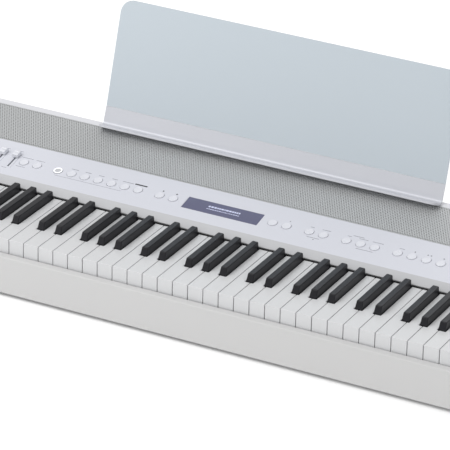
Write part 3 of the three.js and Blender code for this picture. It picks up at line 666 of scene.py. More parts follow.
class PIANO_OT_black_keys(bpy.types.Operator):
    """Make the black keys"""

    bl_idname = "piano.black_keys"
    bl_label = "Black Keys"

    def execute(self, context):
        build_keys(True, context.scene.piano_keys, "black_key_plastic")
        return {"FINISHED"}


# ---------------------------------------------------------------- case


def end_block_outline():
    """The end block's side view: up the front, over the cheek, up the panel's slope and down the back."""
    front, bottom = low("end_block_left")[1], FLOOR_OF_CASE
    back, top = high("end_block_left")[1:]
    cheek = KEY_TOP + 5 * MM  # the cheek stands a little over the white keys
    panel_y, panel_z = PANEL_FRONT
    corners = [
        [front, bottom], [back, bottom], [back, top], [panel_y, panel_z],
        [KEY_BACK - 4 * MM, cheek], [front + 14 * MM, cheek], [front, cheek - 6 * MM],
    ]
    radii = np.array([3.2, 3.2, 3.2, 8, 20, 12, 9]) * MM  # at least the edge's radius, or caps would fold
    return rounded_outline(corners, radii, 6)


class PIANO_OT_end_blocks(bpy.types.Operator):
    """Make the two end blocks of the case"""

    bl_idname = "piano.end_blocks"
    bl_label = "End Blocks"

    def execute(self, context):
        outline = end_block_outline()
        edge, inner_edge = context.scene.piano_case.end_edge, 0.6 * MM
        for side in ("left", "right"):
            node = f"end_block_{side}"
            edges = (edge, inner_edge) if side == "left" else (inner_edge, edge)
            levels = edge_levels(low(node)[0], high(node)[0], *edges, 4)
            new_piece(f"{node}_shell", slab(outline, levels, "x"), "case_paint", "case", [node])
        return {"FINISHED"}


class PIANO_OT_keyslip(bpy.types.Operator):
    """Make the rail in front of the keys"""

    bl_idname = "piano.keyslip"
    bl_label = "Keyslip"

    def execute(self, context):
        front, bottom = low("keyslip")[1:]
        back, top = high("keyslip")[1:]
        wall = 3 * MM
        corners = [
            [front, bottom], [front + wall, bottom], [front + wall, top - 6.5 * MM], [back, top - wall],
            [back, top], [front, top - 2.4 * MM],
        ]
        outline = rounded_outline(corners, np.array([1.2, 0.4, 0.6, 0.4, 0.8, 2.6]) * MM, 6)
        levels = edge_levels(low("keyslip")[0], high("keyslip")[0], 0.3 * MM, 0.3 * MM, 2)
        # the keyslip's finish is the case paint darkened: painted shade on its front face
        new_piece("keyslip_rail", slab(outline, levels, "x"), "keyslip_painted_shade", "case",
                  ["keyslip"])
        return {"FINISHED"}


SLIDERS = ("slider_brilliance", "slider_ambience", "slider_volume")
BUTTON_RADIUS = width("button_power") / 2 - 2 * MM  # the node has a collar of 2 mm under the panel


def hole_cell(x0, x1, s0, s1, inner, per_side):
    """The part of the panel round one hole: a square frame of quads from the cell's sides to the hole's
    rim. The rim is a circle where inner is a radius, or a rectangle where it is a half width and length."""
    side = np.linspace(-1, 1, per_side, endpoint=False)
    one = np.ones(per_side)
    square = np.concatenate([
        np.stack([side, -one], 1), np.stack([one, side], 1),
        np.stack([-side, one], 1), np.stack([-one, -side], 1),
    ])
    middle = np.array([(x0 + x1) / 2, (s0 + s1) / 2])
    outer = middle + square * np.array([(x1 - x0) / 2, (s1 - s0) / 2])
    if np.ndim(inner) == 0:
        angle = np.linspace(0, 2 * math.pi, 4 * per_side, endpoint=False) - 0.75 * math.pi
        rim = middle + inner * np.stack([np.cos(angle), np.sin(angle)], 1)
    else:
        rim = middle + square * np.asarray(inner)
    rings = np.zeros((3, len(square), 3))
    rings[..., :2] = outer, (outer + rim) / 2, rim
    return lofted(rings, capped=False)


def button_clusters():
    """Each button node and the X of its buttons, which stand at even steps across the node's box."""
    counts = {
        "buttons_effect": 2, "button_piano_lit": 1, "buttons_tone": 6, "buttons_select": 2,
        "buttons_value": 2, "buttons_split": 2, "buttons_rhythm": 3, "buttons_song": 4, "button_power": 1,
    }
    margin = width("button_power") / 2
    return {
        node: np.linspace(low(node)[0] + margin, high(node)[0] - margin, count) if count > 1
        else centre(node)[:1]
        for node, count in counts.items()
    }


def panel_holes(settings):
    """Every hole of the panel, from left to right: its X, its cell's half width, and its rim."""
    radius = BUTTON_RADIUS + settings.button_gap
    holes = [(x, radius + 2.5 * MM, radius) for row in button_clusters().values() for x in row]
    for node in SLIDERS:
        holes.append((centre(node)[0], 4 * MM, (1.3 * MM, 16.5 * MM)))
    window = width("display_window") / 2 + 0.3 * MM
    depth = (high("display_window")[1] - low("display_window")[1]) / math.cos(SLOPE) / 2 + 0.2 * MM
    holes.append((centre("display_window")[0], window + 2 * MM, (window, depth)))
    return sorted(holes, key=lambda hole: hole[0])


class PIANO_OT_control_panel(bpy.types.Operator):
    """Make the control panel with its lip and its holes"""

    bl_idname = "piano.control_panel"
    bl_label = "Control Panel"

    def execute(self, context):
        settings = context.scene.piano_case
        x_low, x_high = low("control_panel")[0], high("control_panel")[0]
        per_side, band = 8, 19 * MM
        s0, s1 = CONTROL_ROW - band, CONTROL_ROW + band
        cells, lines, edge = [], [], x_low
        for x, half, rim in panel_holes(settings):
            lines.append(np.linspace(edge, x - half, 3)[:-1])
            cells.append(lofted_strip(edge, x - half, s0, s1, per_side))
            cells.append(hole_cell(x - half, x + half, s0, s1, rim, per_side))
            lines.append(np.linspace(x - half, x + half, per_side + 1)[:-1])
            edge = x + half
        lines.append(np.linspace(edge, x_high, 3))
        cells.append(lofted_strip(edge, x_high, s0, s1, per_side))
        columns = np.concatenate(lines)
        front_rows = np.array([PANEL_FRONT + s * UP_SLOPE for s in np.linspace(1.2 * MM, s0, 5)])
        back_rows = np.array([PANEL_FRONT + s * UP_SLOPE for s in np.linspace(s1, PANEL_DEPTH, 4)])
        sheets = [moved(cell, on_slope) for cell in cells]
        for rows in (front_rows, back_rows):
            grid = np.empty((len(rows), len(columns), 3))
            grid[..., 0] = columns
            grid[..., 1:] = rows[:, None]
            sheets.append((grid.reshape(-1, 3), sheet_grid(len(columns), len(rows)), []))
        panel = new_piece("control_panel_skin", together(sheets), "panel_paint", "case",
                          ["control_panel"], closed=False, sharp=25.0)
        thicken(panel, 3 * MM, 0.25 * MM)
        build_lip(x_low, x_high, settings)
        return {"FINISHED"}


def build_lip(x0, x1, settings):
    """The panel's lip, a bar with a flat sloping face over the ends of the keys, and the black felt
    strip that shows under it."""
    foot = np.array([low("control_panel")[1], KEY_TOP + settings.lip_clearance])
    edge = PANEL_FRONT + 1.2 * MM * UP_SLOPE
    under = 3 * MM
    corners = [foot, foot + [under, 0.0], edge - under * OFF_SLOPE, edge, PANEL_FRONT]
    outline = rounded_outline(corners, np.array([0.8, 0.4, 0.4, 0.1, 1.2]) * MM, 5)
    bar = slab(outline, edge_levels(x0, x1, 0.1 * MM, 0.1 * MM, 1), "x")
    # the lip's finish is the panel's paint darkened: painted shade on its steep face
    new_piece("panel_lip", bar, "lip_painted_shade", "case", ["control_panel"])
    felt_strip = rounded_bar(foot[0] + 0.4 * MM, foot[0] + 2.4 * MM, KEY_TOP + 0.35 * MM, foot[1] + 0.2 * MM,
                             x0, x1, 0.2 * MM, 0.1 * MM, "x")
    new_piece("lip_felt", felt_strip, "black_felt", "case")


def lofted_strip(x0, x1, s0, s1, steps):
    """A plain stretch of the panel between two holes, as a sheet on the sloping plane."""
    columns, rows = np.linspace(x0, x1, 3), np.linspace(s0, s1, steps + 1)
    grid = np.zeros((len(rows), len(columns), 3))
    grid[..., 0] = columns
    grid[..., 1] = rows[:, None]
    return grid.reshape(-1, 3), sheet_grid(len(columns), len(rows)), []


class PIANO_OT_grille(bpy.types.Operator):
    """Make the perforated speaker grille and the dark screen behind it"""

    bl_idname = "piano.grille"
    bl_label = "Speaker Grille"

    def execute(self, context):
        settings = context.scene.piano_grille
        x0, x1 = low("speaker_grille")[0], high("speaker_grille")[0]
        s0 = PANEL_DEPTH + 0.3 * MM
        s1 = float((high("speaker_grille")[1:] - PANEL_FRONT) @ UP_SLOPE)
        border = 1.5 * MM
        across = round((x1 - x0 - 2 * border) / settings.pitch)
        step = (x1 - x0 - 2 * border) / (across + 0.5)
        rows = round((s1 - s0 - 2 * border) / (step * math.sqrt(3) / 2)) - 1
        rise = (s1 - s0 - 2 * border) / (rows + 1 / 3)
        plate = perforated(x0 + border, s0 + border, across, rows, step, rise, settings)
        rim, rim_normals = rounded_outline(rectangle(x0, x1, s0, s1), 0.8 * MM, 2)
        inner = rectangle(x0 + border, x1 - border, s0 + border, s1 - border)
        inner_edge = rounded_outline(inner, 0.01 * MM, 2)[0]
        levels = [
            (rim - 0.3 * MM * rim_normals, -settings.thickness), (rim, -0.8 * MM), (rim, -0.2 * MM),
            (rim - 0.2 * MM * rim_normals, 0.0), (inner_edge, 0.0), (inner_edge, -settings.thickness),
        ]
        rings = np.stack([np.column_stack([line, np.full(len(line), n)]) for line, n in levels])
        border_sheet = lofted(rings, capped=False)
        new_piece("speaker_grille_plate", moved(together([plate, border_sheet]), on_slope), "grille_metal",
                  "case", ["speaker_grille"], closed=False)
        screen = rounded_bar(x0 + 1 * MM, x1 - 1 * MM, s0 + 1 * MM, s1 - 1 * MM, -2.2 * MM, -1.4 * MM,
                             0.8 * MM, 0.2 * MM)
        new_piece("grille_screen", moved(screen, on_slope), "dark_plastic", "case")
        return {"FINISHED"}


def perforated(x0, s0, across, rows, step, rise, settings):
    """A plate of six-sided cells, each with a six-sided hole: the cells stand at even steps along X and
    every second row is moved by half a step. Each cell is its outline, its rim and the foot of its wall."""
    angle = np.arange(6) * math.pi / 3 + math.pi / 6
    hexagon = np.stack([np.cos(angle) / math.cos(math.pi / 6) * step / 2, np.sin(angle) * rise * 2 / 3], 1)
    rim = settings.hole / 2 * np.stack([np.cos(angle), np.sin(angle)], 1)
    template = np.stack([
        np.column_stack([hexagon, np.zeros(6)]), np.column_stack([rim, np.zeros(6)]),
        np.column_stack([rim, np.full(6, -settings.thickness)]),
    ])
    row = np.arange(rows)
    centres = np.zeros((rows, across, 3))
    centres[..., 0] = x0 + (np.arange(across) + 0.5) * step + (row[:, None] % 2) * step / 2
    centres[..., 1] = s0 + (row[:, None] + 2 / 3) * rise
    points = centres.reshape(-1, 1, 1, 3) + template[None]
    _, quads, _ = lofted(template, capped=False)
    offsets = np.arange(rows * across) * template.shape[0] * 6
    return points.reshape(-1, 3), (quads[None] + offsets[:, None, None]).reshape(-1, 4), []


class PIANO_OT_back(bpy.types.Operator):
    """Finish the rear strip, rear panel, bottom and feet"""

    bl_idname = "piano.back"
    bl_label = "Back, Bottom and Feet"

    def execute(self, context):
        edge = context.scene.piano_case.back_edge
        for node in ("rear_cover", "rear_panel", "rear_panel_left", "rear_bridge"):
            finish_node(node, "case_paint", edge)
        finish_node("bottom_case", "dark_plastic", edge)
        for row in ("front", "back"):
            for side in ("left", "right"):
                build_foot(f"foot_{row}_{side}")
        build_screws()
        return {"FINISHED"}


def cross_screw(x, y, z, radius, down):
    """A countersunk screw head that faces down or back: a dished disc whose middle has a cross cut in it.
    The cross is where |u| or |v| is small: the height falls there by the cut's depth."""
    rings, sides = 9, 32
    share = np.linspace(0, 1, rings)[:, None]
    angle = np.linspace(0, 2 * math.pi, sides, endpoint=False)[None]
    u, v = radius * share * np.cos(angle), radius * share * np.sin(angle)
    arm = np.minimum(np.abs(u), np.abs(v)) < 0.13 * radius
    cut = np.where(arm & (share < 0.62), 0.35 * MM, 0.0)
    lift = 0.25 * MM * np.sqrt(np.clip(1 - share**2, 0, 1)) - cut
    face = np.stack([u, v, lift], axis=-1)
    rim = face[-1:] - [0, 0, 0.5 * MM]
    points, quads, caps = lofted(np.concatenate([face, rim]))
    placed = points * [1, 1, -1] if down else points[:, [0, 2, 1]]
    return placed + [x, y, z], quads, caps[1:]  # the first ring is a single point, so it has no cap


def build_screws():
    """The screws that hold the bottom and the back: evenly spaced rows, each head sunk in its cup."""
    bottom, front, back = FLOOR_OF_CASE, low("bottom_case")[1], high("rear_panel")[1]
    half = high("keyslip")[0]
    xs = np.linspace(-half + 25 * MM, half - 25 * MM, 9)
    rows = (front + 14 * MM, (front + back) / 2, back - 24 * MM)
    heads = [cross_screw(x, y, bottom - 0.15 * MM, 3.4 * MM, True) for y in rows for x in xs]
    z = high("rear_panel")[2] - 9 * MM
    xs = np.linspace(-half + 30 * MM, half - 30 * MM, 8)
    heads += [cross_screw(x, back - 0.1 * MM, z, 3.0 * MM, False) for x in xs]
    new_piece("case_screws", together(heads), "bright_metal", "case")


def build_foot(node):
    """A rubber foot: a turned disc with a shallow ring cut in its sole."""
    x, y, _ = centre(node)
    radius, top = width(node) / 2, high(node)[2]
    hollow, rim = 0.5 * MM, 1.6 * MM
    profile = np.array([
        [0.0, hollow], [radius * 0.45, hollow], [radius * 0.5, 0.0], [radius - rim, 0.0],
        [radius - 0.5 * MM, 0.5 * MM], [radius, rim], [radius, top], [0.0, top],
    ])
    new_piece(f"{node}_rubber", turned(profile, x, y), "foot_rubber", "case", [node])


def finish_node(node, finish, edge=0.0):
    """Gives a CAD node its finish, and breaks its edges where an edge is given."""
    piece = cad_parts[node]
    piece.data.materials.clear()
    piece.data.materials.append(look_of(finish))
    if edge:
        weld = piece.modifiers.new("weld", "WELD")
        weld.merge_threshold = 0.005 * MM
        break_edges(piece, edge)


# ---------------------------------------------------------------- controls


class PIANO_OT_buttons(bpy.types.Operator):
    """Make the round buttons and the lit ring"""

    bl_idname = "piano.buttons"
    bl_label = "Buttons"

    def execute(self, context):
        r, proud = BUTTON_RADIUS, context.scene.piano_case.button_proud
        cap = np.array([
            [r, -6.0 * MM], [r, proud - 0.7 * MM], [r - 0.12 * MM, proud - 0.3 * MM], [r - 0.45 * MM, proud],
            [r - 0.9 * MM, proud], [r - 1.5 * MM, proud - 0.22 * MM], [r * 0.5, proud - 0.42 * MM],
            [0.0, proud - 0.5 * MM],
        ])
        cap = np.concatenate([[[0.0, -6.0 * MM]], smooth_line(cap[:2], 1), smooth_line(cap[2:], 3)])
        inside, outside, foot, shoulder = r - 1.9 * MM, r - 0.3 * MM, proud - 0.35 * MM, proud - 0.1 * MM
        crown = proud + 0.04 * MM
        ring = np.array([
            [inside, foot], [inside, shoulder], [r - 1.5 * MM, crown],
            [r - 0.5 * MM, crown], [outside, shoulder], [outside, foot],
        ])
        for node, places in button_clusters().items():
            lit = node == "button_piano_lit"
            caps = together([turned(cap, x, CONTROL_ROW) for x in places])
            web = rounded_bar(low(node)[0], high(node)[0], CONTROL_ROW - r, CONTROL_ROW + r,
                              -5 * MM, -3.4 * MM, 0.9 * r, 0.2 * MM, steps=5)
            plastic = "lamp_plastic" if lit else "button_plastic"
            new_piece(f"{node}_caps", moved(together([caps, web]), on_slope), plastic, node, [node])
            if lit:
                lamp = turned_ring(ring, places[0], CONTROL_ROW)
                new_piece("lit_ring", moved(lamp, on_slope), "ring_light", node)
        return {"FINISHED"}


def slider_place(node):
    """How far up the slope a slider's cap stands: the middle of its box, put on the slope."""
    return float((centre(node)[1:] - PANEL_FRONT) @ UP_SLOPE)


class PIANO_OT_sliders(bpy.types.Operator):
    """Make the level sliders' caps"""

    bl_idname = "piano.sliders"
    bl_label = "Sliders"

    def execute(self, context):
        for node in SLIDERS:
            x, half = centre(node)[0], width(node) / 2
            top = 7 * MM
            side = [
                [-6.5 * MM, 0.8 * MM], [6.5 * MM, 0.8 * MM], [5.6 * MM, top - 1 * MM], [1.6 * MM, top],
                [0.0, top - 1.2 * MM], [-1.6 * MM, top], [-5.6 * MM, top - 1 * MM],
            ]
            outline = rounded_outline(side, np.array([0.6, 0.6, 1.4, 0.5, 0.8, 0.5, 1.4]) * MM, 5)
            cap = slab(outline, edge_levels(x - half, x + half, 0.5 * MM, 0.5 * MM, 4), "x")
            s = slider_place(node)
            cap = moved(cap, lambda p: p + [0, s, 0])
            stem = rounded_bar(x - 0.8 * MM, x + 0.8 * MM, s - 3 * MM, s + 3 * MM, -7 * MM, 1.4 * MM,
                               0.3 * MM, 0.2 * MM)
            new_piece(f"{node}_cap", moved(together([cap, stem]), on_slope), "button_plastic", node,
                      [node])
            line = rounded_bar(x - half + 1 * MM, x + half - 1 * MM, s - 0.3 * MM, s + 0.3 * MM,
                               top - 1.6 * MM, top - 0.95 * MM, 0.2 * MM, 0.1 * MM)
            new_piece(f"{node}_line", moved(line, on_slope), "mark_ink", node)
        return {"FINISHED"}


def mark(x, s, length, depth, n=0.0):
    """A printed bar on the sloping plane: a rounded plate that stands 0.06 mm proud."""
    plan = rectangle(x - length / 2, x + length / 2, s - depth / 2, s + depth / 2)
    outline = rounded_outline(plan, min(length, depth) * 0.3, 2)
    return slab(outline, edge_levels(n - 0.05 * MM, n + 0.06 * MM, 0.01 * MM, 0.02 * MM, 1), "z")


class PIANO_OT_panel_marks(bpy.types.Operator):
    """Print generic bars, dots and lines beside the controls"""

    bl_idname = "piano.panel_marks"
    bl_label = "Panel Marks"

    def execute(self, context):
        rows = button_clusters()
        above, below = CONTROL_ROW + 11.5 * MM, CONTROL_ROW - 11 * MM
        tone, lit = rows["buttons_tone"], rows["button_piano_lit"][0]
        effect, split = rows["buttons_effect"], rows["buttons_split"]
        rhythm, song = rows["buttons_rhythm"], rows["buttons_song"]
        # A row of lengths in mm is that of the row's printed labels, one bar for each.
        bars = [mark(x, above, length * MM, 0.9 * MM) for x, length in zip(tone, (12, 10, 9, 9, 18))]
        bars += [mark(x, above, length * MM, 0.8 * MM) for x, length in zip(effect, (19, 14))]
        bars.append(mark(effect[0], below, 15 * MM, 0.7 * MM))
        bars += [mark(x, above, length * MM, 0.8 * MM) for x, length in zip(split, (6, 13))]
        bars += [mark(x, above, length * MM, 0.8 * MM) for x, length in zip(rhythm, (6, 14, 17))]
        bars.append(mark((lit + tone[4]) / 2, below, tone[4] - lit, 0.5 * MM))
        bars.append(mark(split.mean(), below, 19 * MM, 0.8 * MM))
        bars.append(mark(rhythm[1:].mean(), below, 26 * MM, 0.8 * MM))
        bars.append(mark(rhythm[:2].mean() + 2 * MM, above + 3.4 * MM, 17 * MM, 0.9 * MM))
        bars.append(mark(song[0] + 2 * MM, above, 8 * MM, 0.8 * MM))
        for node in SLIDERS:
            x = centre(node)[0]
            bars.append(mark(x, CONTROL_ROW + 23 * MM, 9 * MM, 0.8 * MM))
            bars.append(mark(x - 4 * MM, CONTROL_ROW - 20.5 * MM, 8 * MM, 0.7 * MM))
            bars.append(mark(x + 5.5 * MM, CONTROL_ROW - 2 * MM, 0.35 * MM, 34 * MM))
        new_piece("panel_marks", moved(together(bars), on_slope), "mark_ink", "case")
        dots = [mark(x, above, 2.4 * MM, 2.4 * MM) for x in rows["buttons_select"] + 0.5 * MM]
        song_dots = (song[1], song[2] - 2.5 * MM, song[2] + 2.5 * MM, song[3])
        dots += [mark(x, above, 1.9 * MM, 1.7 * MM) for x in song_dots]
        dots.append(mark(rows["buttons_value"][1], above + 1 * MM, 1.5 * MM, 1.3 * MM))
        dots.append(mark(split.mean() + 2 * MM, below - 3.5 * MM, 1.5 * MM, 1.3 * MM))
        dots.append(mark(tone[5] - 1 * MM, above + 0.6 * MM, 20 * MM, 2.6 * MM))
        new_piece("panel_marks_dark", moved(together(dots), on_slope), "mark_ink_dark", "case")
        return {"FINISHED"}


class PIANO_OT_display(bpy.types.Operator):
    """Make the display window and its pale figures"""

    bl_idname = "piano.display"
    bl_label = "Display"

    def execute(self, context):
        settings = context.scene.piano_case
        x0, x1 = low("display_window")[0], high("display_window")[0]
        half = (high("display_window")[1] - low("display_window")[1]) / math.cos(SLOPE) / 2 - 0.1 * MM
        plan = rounded_outline(rectangle(x0, x1, CONTROL_ROW - half, CONTROL_ROW + half), 0.8 * MM, 4)
        window = slab(plan, edge_levels(-1.6 * MM, -0.1 * MM, 0.2 * MM, 0.25 * MM, 3), "z")
        new_piece("display_window_glass", moved(window, on_slope), "display_glass", "case",
                  ["display_window"])
        rng = np.random.default_rng(7)
        figures = []
        gap = 1.0 * MM
        # A line of figures is its place, its height, its count, and its shortest and longest in mm.
        lines = ((2.6 * MM, 3.4 * MM, 13, 1.6, 4.2), (-3.2 * MM, 1.6 * MM, 17, 1.0, 3.0))
        for s, depth, count, shortest, longest in lines:
            lengths = rng.uniform(shortest, longest, count) * MM
            ends = np.cumsum(lengths + gap)
            left = (x0 + x1) / 2 + settings.text_middle - ends[-1] / 2
            figures += [mark(left + end - gap - length / 2, CONTROL_ROW + s, length, depth, -0.06 * MM)
                        for end, length in zip(ends, lengths)]
        new_piece("display_figures", moved(together(figures), on_slope), "readout_light", "case")
        return {"FINISHED"}


# ---------------------------------------------------------------- music rest


PLATE_LEAN, BAND_LEAN = math.radians(16.6), math.radians(20.5)  # back from upright
LEDGE_DEPTH, BAND_HEIGHT = 20 * MM, 27 * MM
REST_THICKNESS = 3 * MM


def rest_profile():
    """The rest's front face in side view, from the ledge's front edge to the top of the plate: points
    (Y, Z), with the root between ledge and band and the crease between band and plate."""
    back, top = high("music_rest")[1:]
    up_band = np.array([math.sin(BAND_LEAN), math.cos(BAND_LEAN)])
    up_plate = np.array([math.sin(PLATE_LEAN), math.cos(PLATE_LEAN)])
    plate_top = np.array([back - REST_THICKNESS * math.cos(PLATE_LEAN), top])
    run = plate_top[0] - low("music_rest")[1] - LEDGE_DEPTH * math.cos(BAND_LEAN) - BAND_HEIGHT * up_band[0]
    crease = plate_top - run / up_plate[0] * up_plate
    root = crease - BAND_HEIGHT * up_band
    ledge_front = root + LEDGE_DEPTH * np.array([-up_band[1], up_band[0]])
    return ledge_front, root, crease, plate_top


def bend(before, corner, after, radius, steps=5):
    """Points of a rounded bend: a quadratic curve from radius before the corner to radius after it."""
    start = corner + radius * (before - corner) / np.linalg.norm(before - corner)
    end = corner + radius * (after - corner) / np.linalg.norm(after - corner)
    t = np.linspace(0, 1, steps)[:, None]
    return (1 - t) ** 2 * start + 2 * t * (1 - t) * corner + t**2 * end


def rest_sheet(line, inset):
    """A sheet whose side view is the line, as wide as the rest less twice the inset at each point."""
    half = width("music_rest") / 2
    across = np.sin(np.linspace(-math.pi / 2, math.pi / 2, 41))
    grid = np.empty((len(line), len(across), 3))
    grid[..., 0] = centre("music_rest")[0] + across * (half - inset)[:, None]
    grid[..., 1:] = line[:, None]
    return grid.reshape(-1, 3), sheet_grid(len(across), len(line)), []


def run_of(line):
    """The distance along a line of points from its first."""
    return np.concatenate([[0], np.cumsum(np.linalg.norm(np.diff(line, axis=0), axis=1))])


class PIANO_OT_music_rest(bpy.types.Operator):
    """Make the music rest: its ledge and band, its plate and its two tongues"""

    bl_idname = "piano.music_rest"
    bl_label = "Music Rest"

    def execute(self, context):
        settings = context.scene.piano_rest
        front, root, crease, top = rest_profile()
        share = (1 - np.cos(np.linspace(0, math.pi / 2, 12)))[:, None]
        bend_radius = 5 * MM
        bend_start = 1 - bend_radius / np.linalg.norm(root - front)
        line = np.concatenate([
            front + (root - front) * share * bend_start, bend(front, root, crease, bend_radius, 9)[1:],
            root + (crease - root) * np.linspace(0.3, 1, 5)[:, None],
        ])
        sheet = rest_sheet(line, corner_inset(run_of(line), settings.ledge_radius))
        # the ledge and band are coloured lighter than the plate: a painted highlight of the bent band
        ledge = new_piece("music_rest_ledge", sheet, "ledge_metal_painted_highlight", "music_rest",
                          ["music_rest"], closed=False, sharp=50.0)
        thicken(ledge, settings.thickness, 0.8 * MM)
        share = np.sin(np.linspace(0, math.pi / 2, 26))[:, None]
        back = settings.plate_step * np.array([math.cos(PLATE_LEAN), -math.sin(PLATE_LEAN)])
        start = 0.002  # the plate starts just above the crease
        line = crease + (top - crease) * (start + (1 - start) * share) + back
        from_top = run_of(line)[-1] - run_of(line)
        sheet = rest_sheet(line, corner_inset(from_top, settings.top_radius))
        plate = new_piece("music_rest_plate", sheet, "plate_metal", "music_rest",
                          ["music_rest"], closed=False, sharp=50.0)
        thicken(plate, settings.thickness - settings.plate_step, 0.4 * MM)
        tongues = []
        for side in (-1, 1):
            x = centre("music_rest")[0] + side * settings.tongue_spacing / 2
            y = root[0] + 0.2 * MM
            plan = rounded_outline(rectangle(x - 15 * MM, x + 15 * MM, y, y + 2.6 * MM), 0.6 * MM, 3)
            levels = edge_levels(low("music_rest")[2], root[1] + 2 * MM, 0.6 * MM, 0.2 * MM, 3)
            tongues.append(slab(plan, levels, "z"))
        new_piece("music_rest_tongues", together(tongues), "ledge_metal_painted_highlight", "music_rest")
        return {"FINISHED"}


def corner_inset(distance, radius):
    """How far a rounded corner draws the side in: radius - sqrt(radius^2 - (radius - distance)^2)."""
    depth = np.clip(radius - distance, 0, radius)
    return radius - np.sqrt(radius**2 - depth**2)


# ---------------------------------------------------------------- sockets and inner works


JACK_PLACES = (-47, -23, 1, 25, 47)  # mm from the middle of the jack block


class PIANO_OT_sockets(bpy.types.Operator):
    """Finish the sockets in the rear panel"""

    bl_idname = "piano.sockets"
    bl_label = "Sockets"

    def execute(self, context):
        for node in ("power_inlet", "jack_block", "usb_block"):
            finish_node(node, "dark_plastic", 0.3 * MM)
        back, z = high("jack_block")[1], centre("jack_block")[2]
        middle = centre("jack_block")[0]
        ring = np.array([[3.25, 0.0], [3.25, 1.4], [3.6, 1.7], [4.9, 1.7], [5.3, 1.3], [5.3, 0.0]]) * MM
        nuts = []
        for offset in JACK_PLACES:
            points, quads, _ = turned_ring(ring, 0.0, 0.0, 24)
            x = middle + offset * MM + points[:, 0]
            placed = np.stack([x, back + points[:, 2] - ring[:, 1].max(), z + points[:, 1]], 1)
            nuts.append((placed, quads, []))
        new_piece("jack_nuts", together(nuts), "bright_metal", "case")
        x = centre("power_inlet")[0]
        pins = [socket_bar(x + dx * MM, z + dz * MM, 2 * MM, 3.2 * MM, back - 17.5 * MM, back - 3 * MM)
                for dx, dz in ((-5, 2), (5, 2), (0, -3))]
        x = centre("usb_block")[0]
        pins.append(socket_bar(x, z + 1 * MM, 8 * MM, 2.4 * MM, back - 11.5 * MM, back - 2 * MM))
        new_piece("socket_pins", together(pins), "bright_metal", "case")
        return {"FINISHED"}


def socket_bar(x, z, across, tall, start, end):
    """A bar in a socket, along Y."""
    plan = rectangle(x - across / 2, x + across / 2, z - tall / 2, z + tall / 2)
    return slab(rounded_outline(plan, 0.5 * MM, 3), edge_levels(start, end, 0.2 * MM, 0.5 * MM, 3), "y")


class PIANO_OT_inner_works(bpy.types.Operator):
    """Finish the pieces inside the case"""

    bl_idname = "piano.inner_works"
    bl_label = "Inner Works"

    def execute(self, context):
        finishes = {
            "plated_steel": ("keybed_chassis", "pivot_rod", "balance_rail", "hammer_bank", "power_supply"),
            "dark_plastic": ("display_module", "speaker_box_left", "speaker_box_right"),
            "board_resin": ("switch_board", "main_board"),
            "cone_paper": ("woofer_left", "woofer_right"),
        }
        for finish, nodes in finishes.items():
            for node in nodes:
                finish_node(node, finish)
        finish_node("key_stop_felt", "red_felt")
        return {"FINISHED"}


# ---------------------------------------------------------------- stage


def add_light(name, place, target, size, power):
    """A square area light at a place, turned to a target."""
    light = bpy.data.lights.new(name, "AREA")
    light.size = size
    light.energy = power
    lamp = bpy.data.objects.new(name, light)
    bpy.context.scene.collection.objects.link(lamp)
    lamp.location = place
    lamp.rotation_euler = (Vector(target) - Vector(place)).to_track_quat("-Z", "Y").to_euler()


class PIANO_OT_stage(bpy.types.Operator):
    """Add the floor, the lights and the camera"""

    bl_idname = "piano.stage"
    bl_label = "Stage"

    def execute(self, context):
        settings = context.scene.piano_stage
        floor_mesh = bpy.data.meshes.new("floor")
        reach = 30.0
        corners = [(x, y, 0.0) for x, y in rectangle(-reach, reach, -reach, reach)]
        floor_mesh.from_pydata(corners, [], [(0, 1, 2, 3)])
        floor = bpy.data.objects.new("floor", floor_mesh)
        context.scene.collection.objects.link(floor)
        light_of_its_own = {"Emission Strength": settings.floor_lift, "Emission Color": colour(settings.sky)}
        paper = finished("floor_paper", settings.floor, (0.01, 0.5, 0.9, 0.02, 10e-6, 40.0),
                         shader={"Specular IOR Level": 0.1, **light_of_its_own})
        floor_mesh.materials.append(paper)
        world = bpy.data.worlds.new("studio")
        context.scene.world = world
        world.use_nodes = True
        sky = world.node_tree.nodes["Background"]
        sky.inputs["Color"].default_value = colour(settings.sky)
        sky.inputs["Strength"].default_value = settings.sky_strength
        target = (0.0, 0.0, 0.1)
        add_light("key_light", (-1.6, -1.2, 2.9), target, 2.2, settings.key_power)
        add_light("fill_light", (2.4, -2.2, 2.0), target, 2.5, settings.fill_power)
        add_light("side_light", (-2.4, -2.4, 0.9), (0.0, 0.1, 0.2), 1.4, settings.side_power)
        add_light("back_light", (0.3, 2.6, 2.2), target, 2.5, settings.back_power)
        self.add_camera(context, settings)
        context.scene.view_settings.view_transform = "Standard"
        return {"FINISHED"}

    def add_camera(self, context, settings):
        """The camera looks along (sin yaw cos pitch, cos yaw cos pitch, -sin pitch), rolled about it."""
        yaw, pitch, roll = settings.yaw, settings.pitch, settings.roll
        ahead = Vector((math.sin(yaw) * math.cos(pitch), math.cos(yaw) * math.cos(pitch), -math.sin(pitch)))
        right = ahead.cross(Vector((0, 0, 1))).normalized()
        up = right.cross(ahead)
        turned_right = right * math.cos(roll) + up * math.sin(roll)
        turned_up = up * math.cos(roll) - right * math.sin(roll)
        camera = bpy.data.objects.new("camera", bpy.data.cameras.new("camera"))
        context.scene.collection.objects.link(camera)
        place = Vector((0, KEY_FRONT, KEY_TOP)) + Vector(settings.camera_offset)
        turn = Matrix((turned_right, turned_up, -ahead)).transposed().to_4x4()
        camera.matrix_world = Matrix.Translation(place) @ turn
        camera.data.lens = settings.lens
        camera.data.sensor_width = 36.0
        camera.data.clip_end = 100.0
        context.scene.camera = camera


# ---------------------------------------------------------------- settings


def size(name, description, default, low_limit=0.0, high_limit=1.0):
    """A length property in metres."""
    return FloatProperty(name=name, description=description, default=default, min=low_limit, max=high_limit,
                         unit="LENGTH", precision=5)


def number(name, description, default, subtype="NONE"):
    """A plain number, an angle or a power."""
    return FloatProperty(name=name, description=description, default=default, subtype=subtype)


def tint(name, description, default):
    """A colour property."""
    return FloatVectorProperty(name=name, description=description, default=default, min=0.0, max=1.0,
                               size=3, subtype="COLOR")


